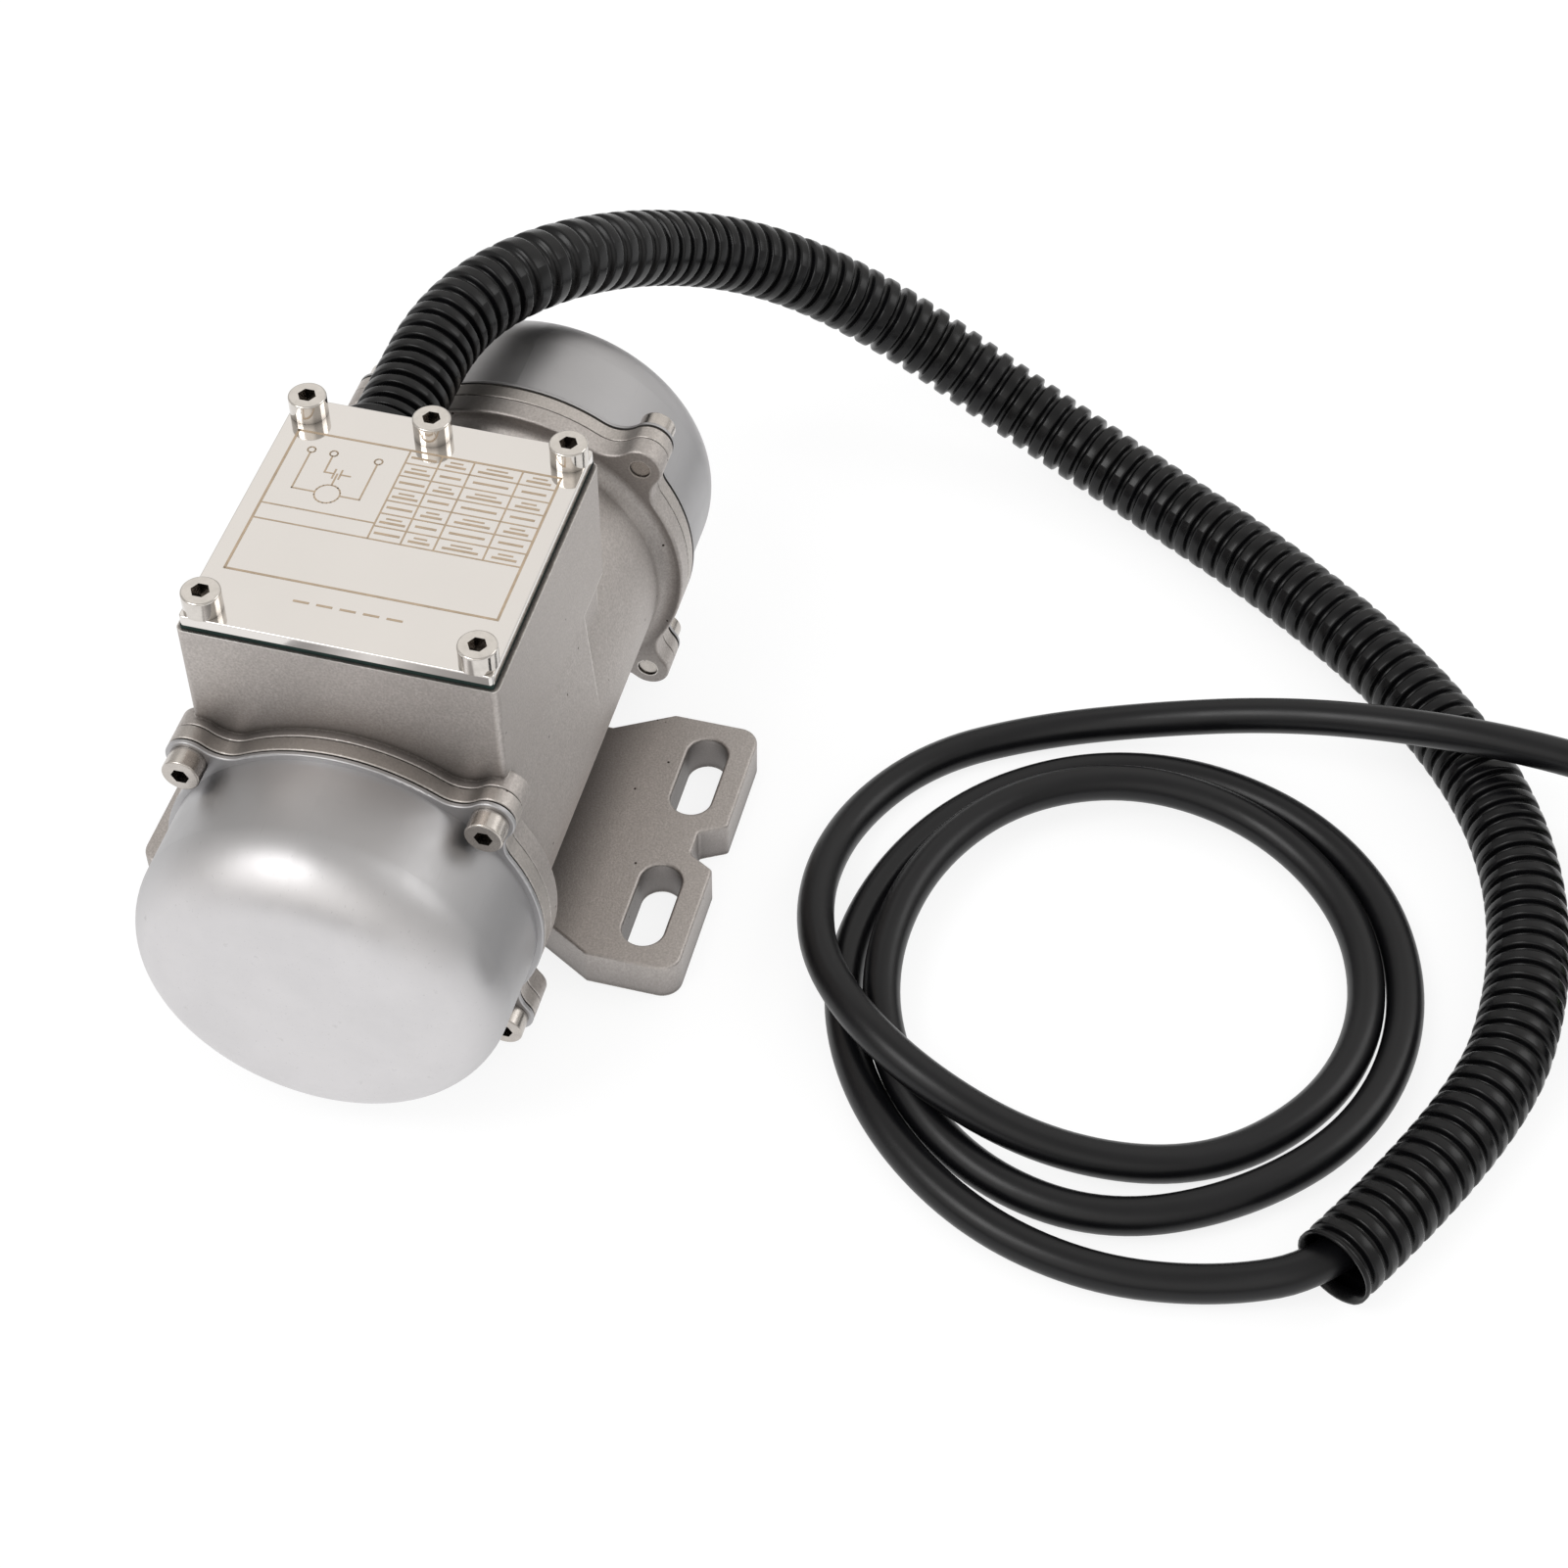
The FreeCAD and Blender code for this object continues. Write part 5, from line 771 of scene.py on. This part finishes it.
# ---- the cords ----
@dataclass
class CorrugatedConduit:
    """Black corrugated conduit, from its collar in the box to its open mouth."""

    material: Material
    diameter: float = 15.8
    root_depth: float = 1.35
    wall: float = 0.55
    columns: int = 34
    seam_height: float = 0.07
    seam_angle: float = 2.4
    seam_breadth: float = 0.05
    # Ribs counted from the collar at these lengths: they are stretched on the first bend.
    rib_stops: tuple[float, ...] = (0, 12, 25, 38, 54, 76, 96, 112, 128, 160, 194, 227, 259, 292,
                                    323, 353, 382, 412, 442, 466)
    rib_counts: tuple[float, ...] = (0, 4, 8, 12, 16, 20, 24, 28, 32, 40, 48, 56, 64, 72, 80, 88,
                                     96, 104, 112, 118.5)
    # Shares of a rib's pitch where its outer and inner rings lie; 0 is the middle of a groove.
    outer_shares: tuple[float, ...] = (0.0, 0.07, 0.12, 0.16, 0.20, 0.25, 0.32, 0.50, 0.68, 0.75,
                                       0.80, 0.84, 0.88, 0.93)
    inner_shares: tuple[float, ...] = (0.0, 0.20, 0.50, 0.80)
    squeeze: float = 3.4
    lift: float = 0.5
    path_points: int = 240

    def profile(self, phase: Array) -> Array:
        """Height of the rib between 0 and 1: a broad flat crest, steep flanks and a narrow groove.

        Cosine of the phase, lifted, steepened and squeezed by a hyperbolic tangent.
        """
        wave = np.tanh(self.squeeze * (self.lift - np.cos(2 * np.pi * phase)))
        low = math.tanh(self.squeeze * (self.lift - 1))
        high = math.tanh(self.squeeze * (self.lift + 1))
        return (wave - low) / (high - low)

    def angles(self) -> Array:
        """Angles of the columns, with close ones beside the two mould seams."""
        even = np.linspace(0, 2 * np.pi, self.columns, endpoint=False)
        near = np.array([-2.0, -1.0, 0.0, 1.0, 2.0]) * self.seam_breadth
        extra = np.concatenate([self.seam_angle + near, self.seam_angle + np.pi + near])
        return np.unique(np.round(np.concatenate([even, extra]) % (2 * np.pi), 5))

    def build(self) -> Piece:
        """Build the outer ribs, the mouth's rim and the inner wall as one closed surface.

        Outer radius = root + rib height x depth, plus a ridge exp(-(angle from seam / breadth)^2)
        on the crests. The inner wall is the same less the wall's thickness.
        """
        path = Path("conduit", CONDUIT_ROUTE)
        crest = self.diameter / 2 - self.seam_height
        total = self.rib_counts[-1]
        shares = np.array(self.outer_shares)
        phase = (np.arange(math.ceil(total))[:, None] + shares[None, :]).ravel()
        phase = phase[phase <= total]
        outer_along = np.interp(phase, self.rib_counts, self.rib_stops)
        outer_along *= path.length / self.rib_stops[-1]
        angles = self.angles()
        height = self.profile(phase)[:, None]
        past_seam = np.abs((angles - self.seam_angle + np.pi / 2) % np.pi - np.pi / 2)
        ridge = self.seam_height * np.exp(-(past_seam / self.seam_breadth) ** 2)[None, :]
        outer = crest - self.root_depth * (1 - height) + ridge * height
        keep = np.isin(np.round(phase % 1, 3), self.inner_shares)
        inner_along = outer_along[keep][::-1]
        inner_height = self.profile(phase[keep][::-1])[:, None]
        inner = crest - self.wall - self.root_depth * (1 - inner_height)
        inner = np.repeat(inner, len(angles), axis=1)
        rings = np.concatenate([path.rings(outer_along, angles, outer),
                                path.rings(inner_along, angles, inner)])
        faces = grid_faces(len(rings), len(angles), close_rows=True)
        piece = mesh_piece("conduit_skin", rings, faces[:, ::-1], self.material)
        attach(piece, Body.STATOR.value)
        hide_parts("conduit")
        steps = path.at(np.linspace(0, path.length, self.path_points)) * MM
        LOG.info("conduit: %.1f mm long, %.1f ribs, %d faces", path.length, total, len(faces))
        return piece


@dataclass
class SupplyCable:
    """Round black supply cable: from the box, through the conduit, round its loops to the coil."""

    material: Material
    coil: CoilShape = CoilShape()
    diameter: float = 7.2
    columns: int = 28
    step: float = 2.2
    end_round: float = 0.25
    end_pin: float = 0.05
    path_points: int = 900
    path: Path = field(init=False)

    def controls(self) -> list[Triple]:
        """The whole cable's control points: box, conduit, loops, then the coil's turns."""
        return [CABLE_START, *CONDUIT_ROUTE, *CABLE_ROUTE, *self.coil.controls()]

    def build(self) -> Piece:
        """Build the sheath as rings of constant radius, closed by a shrinking ring at each end."""
        self.path = Path("cable", self.controls())
        even = np.linspace(0, self.path.length, round(self.path.length / self.step))
        along = np.concatenate([[0, 0], even, [self.path.length, self.path.length]])
        radius = np.full(len(along), self.diameter / 2)
        radius[[1, -2]] -= self.end_round
        radius[[0, -1]] = self.end_pin
        angles = np.linspace(0, 2 * np.pi, self.columns, endpoint=False)
        rings = self.path.rings(along, angles, np.repeat(radius[:, None], len(angles), axis=1))
        faces = grid_faces(len(along), len(angles), close_rows=False)[:, ::-1]
        ring = np.arange(self.columns)
        ends = np.array([ring, (len(along) - 1) * self.columns + ring[::-1]])
        piece = mesh_piece("cable_sheath", rings, faces, self.material, ends)
        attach(piece, Body.STATOR.value)
        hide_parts("cable_in_conduit", "cable_loops", "cable_coil")
        LOG.info("cable: %.1f mm long, %d faces", self.path.length, len(faces))
        return piece

    def declare(self) -> None:
        """Sample points along the cord's centreline; nothing is done with them.
        """
        steps = self.path.at(np.linspace(0, self.path.length, self.path_points)) * MM


@dataclass
class CoilStrap:
    """Hook-and-loop strap that ties the coil's three strands."""

    material: Material
    coil: CoilShape = CoilShape()
    strand: float = 3.6
    gap: float = 0.05
    thickness: float = 0.7
    edge_share: float = 0.6
    swell: float = 0.1
    width: float = 9.0
    rows: int = 9
    columns: int = 96
    sharpness: float = 14.0
    map_round: float = 62.0

    def outline(self, reach: float, bow: Array) -> Array:
        """Closed outline at a distance outside the triangle of strand centres.

        The support point of the triangle in each direction, plus the reach along that direction.

        Args:
            reach: Distance outside the strand centres.
            bow: Directions, as angles.

        Returns:
            Points (x, z), shape (n, 2).
        """
        coil = self.coil
        corners = np.array([(coil.centre[0] - coil.inner_radius, coil.level),
                            (coil.centre[0] - coil.outer_radius, coil.level),
                            (coil.centre[0] - coil.top_radius, coil.top_level)])
        way = np.stack([np.cos(bow), np.sin(bow)], axis=1)
        support = corners @ way.T
        sharp = np.exp(self.sharpness * (support - support.max(axis=0)))
        centre = (sharp / sharp.sum(axis=0)).T @ corners
        return centre + reach * way

    def build(self) -> Piece:
        """Build the strap: an outline across the strands, carried along its width and back inside.

        The outer face swells by 0.1 mm towards the middle of its width, and its edges are thin,
        as on soft tape.
        """
        bow = np.linspace(0, 2 * np.pi, self.columns, endpoint=False)
        across = np.linspace(-0.5, 0.5, self.rows)
        face = self.thickness - self.swell + self.swell * np.cos(np.pi * across)
        face[[0, -1]] = self.thickness * self.edge_share
        reaches = self.strand + self.gap + np.concatenate([face, np.zeros(self.rows)])
        places = self.coil.centre[1] + np.concatenate([across, across[::-1]]) * self.width
        rings = np.stack([np.insert(self.outline(reach, bow), 1, place, axis=1)
                          for reach, place in zip(reaches, places)])
        faces = grid_faces(len(rings), len(bow), close_rows=True)
        piece = mesh_piece("coil_strap", rings, faces, self.material)
        row, column = np.divmod(faces.ravel(), len(bow))
        around = column / len(bow) * self.map_round
        over = np.minimum(row, len(rings) - row) / self.rows * self.width
        layer = piece.data.uv_layers.new(name="UVMap")
        layer.data.foreach_set("uv", np.column_stack([around, over]).astype(np.float32).ravel())
        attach(piece, Body.STATOR.value)
        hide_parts("coil_tie")
        LOG.info("coil strap: %d faces", len(faces))
        return piece


# ---- marks ----
@dataclass
class LidEngraving:
    """Generic ruled plate on the lid: a frame, a table of blank cells and a plain line diagram."""

    material: Material
    lift: float = 0.015
    stroke: float = 0.34
    border: float = 0.5
    edges: Quad = (-30.5, 5.6, -24.6, 24.6)
    table: Pair = (-17.5, 3.4)
    cells: int = 7
    strokes: list[tuple[float, float, float, float, float]] = field(default_factory=list)

    def line(self, x0: float, y0: float, x1: float, y1: float, breadth: float = 0.0) -> None:
        """Add a straight stroke between two places, of the usual breadth unless one is given."""
        self.strokes.append((x0, y0, x1, y1, breadth or self.stroke))

    def arc(self, x: float, y: float, radius: float) -> None:
        """Add a circle as twenty short strokes."""
        turn = np.linspace(0, 2 * np.pi, 21)
        px, py = (x + radius * np.cos(turn)).tolist(), (y + radius * np.sin(turn)).tolist()
        for corners in zip(px, py, px[1:], py[1:]):
            self.line(*corners, 0.3)

    def rows(self) -> Array:
        """Where the table's level rulings lie."""
        return np.linspace(self.table[0], self.edges[1], self.cells + 1)

    def frame_and_table(self) -> None:
        """The outer frame and the table's rulings."""
        low_x, high_x, low_y, high_y = self.edges
        table_x, table_y = self.table
        for y in (low_y, high_y):
            self.line(low_x, y, high_x, y, self.border)
        for x in (low_x, high_x):
            self.line(x, low_y, x, high_y, self.border)
        for x in self.rows()[:-1].tolist():
            self.line(x, low_y, x, table_y)
        for y in (-17.6, -8.6, -2.6, table_y):
            self.line(table_x, y, high_x, y)
        for x in (table_x, -13.6):
            self.line(x, table_y, x, high_y)

    def blanks(self) -> None:
        """Short level dashes, one or two to a cell, as an empty form has."""
        middle = (self.rows()[:-1] + self.rows()[1:]) / 2
        for number, x in enumerate(middle.tolist()):
            for y, reach in ((-21.1, 2.0), (-13.1, 3.0), (-5.6, 1.7), (0.4, 2.1)):
                gap = 0.5 if (number + int(y)) % 2 else 0.0
                self.line(x - gap, y - reach, x - gap, y + reach, 0.55)
                if gap:
                    self.line(x + gap, y - reach * 0.6, x + gap, y + reach * 0.6, 0.4)
        for step in range(5):
            self.line(-35.0, -9.0 + 4.2 * step, -35.0, -6.6 + 4.2 * step, 0.5)

    def diagram(self) -> None:
        """A circle, two side lines and a pair of plates, with open dots at three ends."""
        self.arc(-8.8, 14.0, 2.3)
        for corners in (
            (-6.5, 14.0, -3.6, 14.0), (-8.8, 11.7, -8.8, 8.0), (-8.8, 8.0, 0.6, 8.0),
            (-8.8, 16.3, -8.8, 20.6), (-8.8, 20.6, 0.6, 20.6), (-3.6, 11.6, -3.6, 13.4),
            (-3.6, 14.6, -3.6, 16.4), (-4.7, 13.4, -2.5, 13.4), (-4.7, 14.6, -2.5, 14.6),
            (-3.6, 16.4, 0.6, 16.4),
        ):
            self.line(*corners)
        for y in (8.0, 16.4, 20.6):
            self.arc(1.3, y, 0.7)

    def build(self, top: float) -> Piece:
        """Build every stroke as a flat quad just above the lid.

        Args:
            top: Height of the lid's upper face, in millimetres.

        Returns:
            The piece.
        """
        self.frame_and_table()
        self.blanks()
        self.diagram()
        data = np.array(self.strokes)
        start, end, breadth = data[:, 0:2], data[:, 2:4], data[:, 4:5]
        way = end - start
        way /= np.linalg.norm(way, axis=1, keepdims=True)
        side = np.stack([-way[:, 1], way[:, 0]], axis=1) * breadth / 2
        ends = way * breadth / 2
        corners = np.stack([start - ends - side, end + ends - side, end + ends + side,
                            start - ends + side], axis=1)
        level = top + self.lift + np.arange(len(data)) * 1e-5
        levels = np.broadcast_to(level[:, None, None], (len(data), 4, 1))
        points = np.concatenate([corners, levels], axis=2)
        faces = np.arange(len(data) * 4).reshape(-1, 4)
        piece = mesh_piece("lid_engraving", points, faces, self.material)
        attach(piece, Body.STATOR.value)
        LOG.info("lid engraving: %d strokes", len(data))
        return piece


# ---- the motor ----
@dataclass
class MotorFrame:
    """The CAD nodes, which only take their finishes here."""

    finishes: dict[str, Material]

    def dress(self) -> None:
        """Give each shown CAD node its finish."""
        for finish, names in NODE_FINISHES.items():
            for name in names:
                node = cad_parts[name]
                node.data.materials.clear()
                node.data.materials.append(self.finishes[finish])
            LOG.info("%s: %s", finish, ", ".join(names))


# ---- the studio ----
@dataclass
class Studio:
    """Camera, floor, soft lamps and a pale world."""

    camera_place: Triple = (-355.10, -155.49, 452.87)
    camera_turns: Triple = (-76.046, 40.961, 0.684)
    lens: float = 67.54
    floor_half: float = 6000.0
    floor_drop: float = 0.05
    floor_glow: float = 0.84
    # Strength of the world on the object, and as it is seen.
    world_levels: Pair = (0.8, 1.0)
    # The tent's size, and its shade at the horizon and from 30 degrees up.
    tent_radius: float = 5500.0
    tent_rows: int = 16
    tent_columns: int = 48
    tent_levels: Pair = (0.56, 0.64)
    # Panels in it: aim, squeeze of the direction, cosines of the outer and inner edge, strength.
    panels: tuple[tuple[Triple, Triple, float, float, float], ...] = (
        ((0.60, 0.37, 0.71), (1.0, 1.0, 1.0), 0.955, 0.995, 0.37),
        ((-0.76, 0.16, 0.63), (1.0, 0.45, 1.0), 0.86, 0.97, 0.58),
        ((-0.98, 0.20, 0.05), (1.0, 0.5, 1.0), 0.88, 0.98, -0.30),
        ((0.62, -0.30, 0.72), (1.0, 1.0, 1.0), 0.85, 0.96, 0.32),
    )
    # In metres.
    lamp_aim: Triple = (0.05, -0.08, 0.03)
    lamp_size: float = 0.8

    def camera(self) -> None:
        """Place the camera: turned about Z, tilted about X, then rolled a little."""
        data = bpy.data.cameras.new("camera")
        data.lens = self.lens
        data.sensor_width = 36.0
        data.clip_end = 50.0
        camera = bpy.data.objects.new("camera", data)
        about, tilt, roll = (math.radians(a) for a in self.camera_turns)
        turn = (Matrix.Rotation(about, 4, "Z") @ Matrix.Rotation(tilt, 4, "X")
                @ Matrix.Rotation(roll, 4, "Z"))
        camera.matrix_world = Matrix.Translation([c * MM for c in self.camera_place]) @ turn
        bpy.context.scene.collection.objects.link(camera)
        bpy.context.scene.camera = camera

    def seen(self, tree: Tree) -> Socket:
        """One for camera, glossy and transmission rays, else zero."""
        rays = add_node(tree, "LightPath")
        total = rays.outputs[Seen.CAMERA.value]
        for kind in (Seen.GLOSSY, Seen.TRANSMISSION):
            total = maths(tree, "MAXIMUM", total, rays.outputs[kind.value])
        return total

    def blank(self, name: str) -> Material:
        """A material with an empty tree."""
        material = bpy.data.materials.new(name)
        material.use_nodes = True
        material.node_tree.nodes.clear()
        return material

    def floor(self) -> None:
        """A wide level floor that looks white and still takes a faint shadow."""
        material = self.blank("white_paper_floor")
        tree = material.node_tree
        plain = add_node(tree, "BsdfDiffuse", {"Color": linear("#e8e8e8")})
        dim = add_node(tree, "BsdfDiffuse", {"Color": linear("#7c7c7c")})
        glow = add_node(tree, "Emission",
                        {"Color": linear("#ffffff"), "Strength": self.floor_glow})
        lit = add_node(tree, "AddShader", {}, {0: dim.outputs[0], 1: glow.outputs[0]})
        mixed = add_node(tree, "MixShader", {},
                         {0: self.seen(tree), 1: plain.outputs[0], 2: lit.outputs[0]})
        add_node(tree, "OutputMaterial", {}, {"Surface": mixed.outputs[0]})
        half = self.floor_half
        corners = np.array([(x * half, y * half, -self.floor_drop)
                            for x, y in ((-1, -1), (1, -1), (1, 1), (-1, 1))])
        mesh_piece("floor", corners, np.array([[0, 1, 2, 3]]), material)

    def world(self) -> None:
        """White to the eye and in reflections, and a lower even light on the object."""
        world = bpy.data.worlds.new("studio")
        world.use_nodes = True
        bpy.context.scene.world = world
        tree = world.node_tree
        tree.nodes.clear()
        level = spread(tree, self.seen(tree), (0.0, 1.0), self.world_levels)
        back = add_node(tree, "Background", {"Color": linear("#ffffff")},
                        {"Strength": level})
        add_node(tree, "OutputWorld", {}, {"Surface": back.outputs[0]})

    def grey_tent(self) -> None:
        """A grey tent overhead that only reflections show, as a dim room round a lit table.

        A dome: direction by azimuth and elevation, its shade by height and by nearness to the
        panels in it, three pale and one dark.
        """
        material = self.blank("grey_tent")
        tree = material.node_tree
        place = add_node(tree, "TexCoord").outputs["Object"]
        way = maths(tree, "NORMALIZE", place, kind=VECTOR)
        height = add_node(tree, "SeparateXYZ", {}, {0: way}).outputs[2]
        level = spread(tree, height, (0.0, 0.5), self.tent_levels)
        for aim, squeeze, outer, inner, strength in self.panels:
            aimed = maths(tree, "MULTIPLY", way, squeeze, kind=VECTOR)
            aimed = maths(tree, "NORMALIZE", aimed, kind=VECTOR)
            near = maths(tree, "DOT_PRODUCT", aimed, aim, kind=VECTOR)
            panel = spread(tree, near, (outer, inner), (0.0, strength), "SMOOTHSTEP")
            level = maths(tree, "ADD", level, panel)
        glow = add_node(tree, "Emission", {"Color": linear("#fffdfa")},
                        {"Strength": level})
        add_node(tree, "OutputMaterial", {}, {"Surface": glow.outputs[0]})
        azimuth = np.linspace(0, 2 * np.pi, self.tent_columns, endpoint=False)[None, :]
        rise = np.linspace(0.02, np.pi / 2 - 0.01, self.tent_rows)[:, None]
        dome = self.tent_radius * np.stack(np.broadcast_arrays(
            np.cos(rise) * np.cos(azimuth), np.cos(rise) * np.sin(azimuth), np.sin(rise)), axis=-1)
        faces = grid_faces(self.tent_rows, self.tent_columns, close_rows=False)
        tent = mesh_piece("grey_tent", dome, faces, material)
        for ray in ("camera", "diffuse", "transmission", "shadow", "volume_scatter"):
            setattr(tent, "visible_" + ray, False)

    def lamp(self, name: str, place: Triple, power: float) -> None:
        """Add a square soft lamp that looks at the object.

        Args:
            name: Its name.
            place: Its place, in metres.
            power: Watts.
        """
        data = bpy.data.lights.new(name, "AREA")
        data.shape = "SQUARE"
        data.size = self.lamp_size
        data.energy = power
        lamp = bpy.data.objects.new(name, data)
        back = np.array(place) - np.array(self.lamp_aim)
        back /= np.linalg.norm(back)
        side = np.cross([0.0, 0.0, 1.0], back)
        side /= np.linalg.norm(side)
        turn = np.column_stack([side, np.cross(back, side), back])
        lamp.matrix_world = Matrix.Translation(place) @ Matrix(turn.tolist()).to_4x4()
        bpy.context.scene.collection.objects.link(lamp)

    def build(self) -> None:
        """Set up everything but the camera."""
        self.floor()
        self.world()
        self.grey_tent()
        self.lamp("key_softbox", (-0.75, 0.75, 1.55), 9.0)
        self.lamp("side_softbox", (0.6, -1.3, 1.1), 4.0)
        bpy.context.scene.view_settings.view_transform = "Standard"


def main() -> None:
    """Build the camera, the cords, the motor's looks and the studio, in that order."""
    logging.basicConfig(level=logging.INFO, format="%(name)s %(message)s")
    studio = Studio()
    studio.camera()
    made = {finish.name: finish.build() for finish in FINISHES}
    CorrugatedConduit(made["moulded_black_polyamide"]).build()
    cable = SupplyCable(made["extruded_black_pvc"])
    sheath = cable.build()
    strap = CoilStrap(made["woven_nylon_tape"]).build()
    cable.declare()
    MotorFrame(made).dress()
    LidEngraving(made["laser_annealed_mark"]).build(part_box("lid")[1][2] / MM)
    studio.build()


if __name__ == "__main__":
    main()
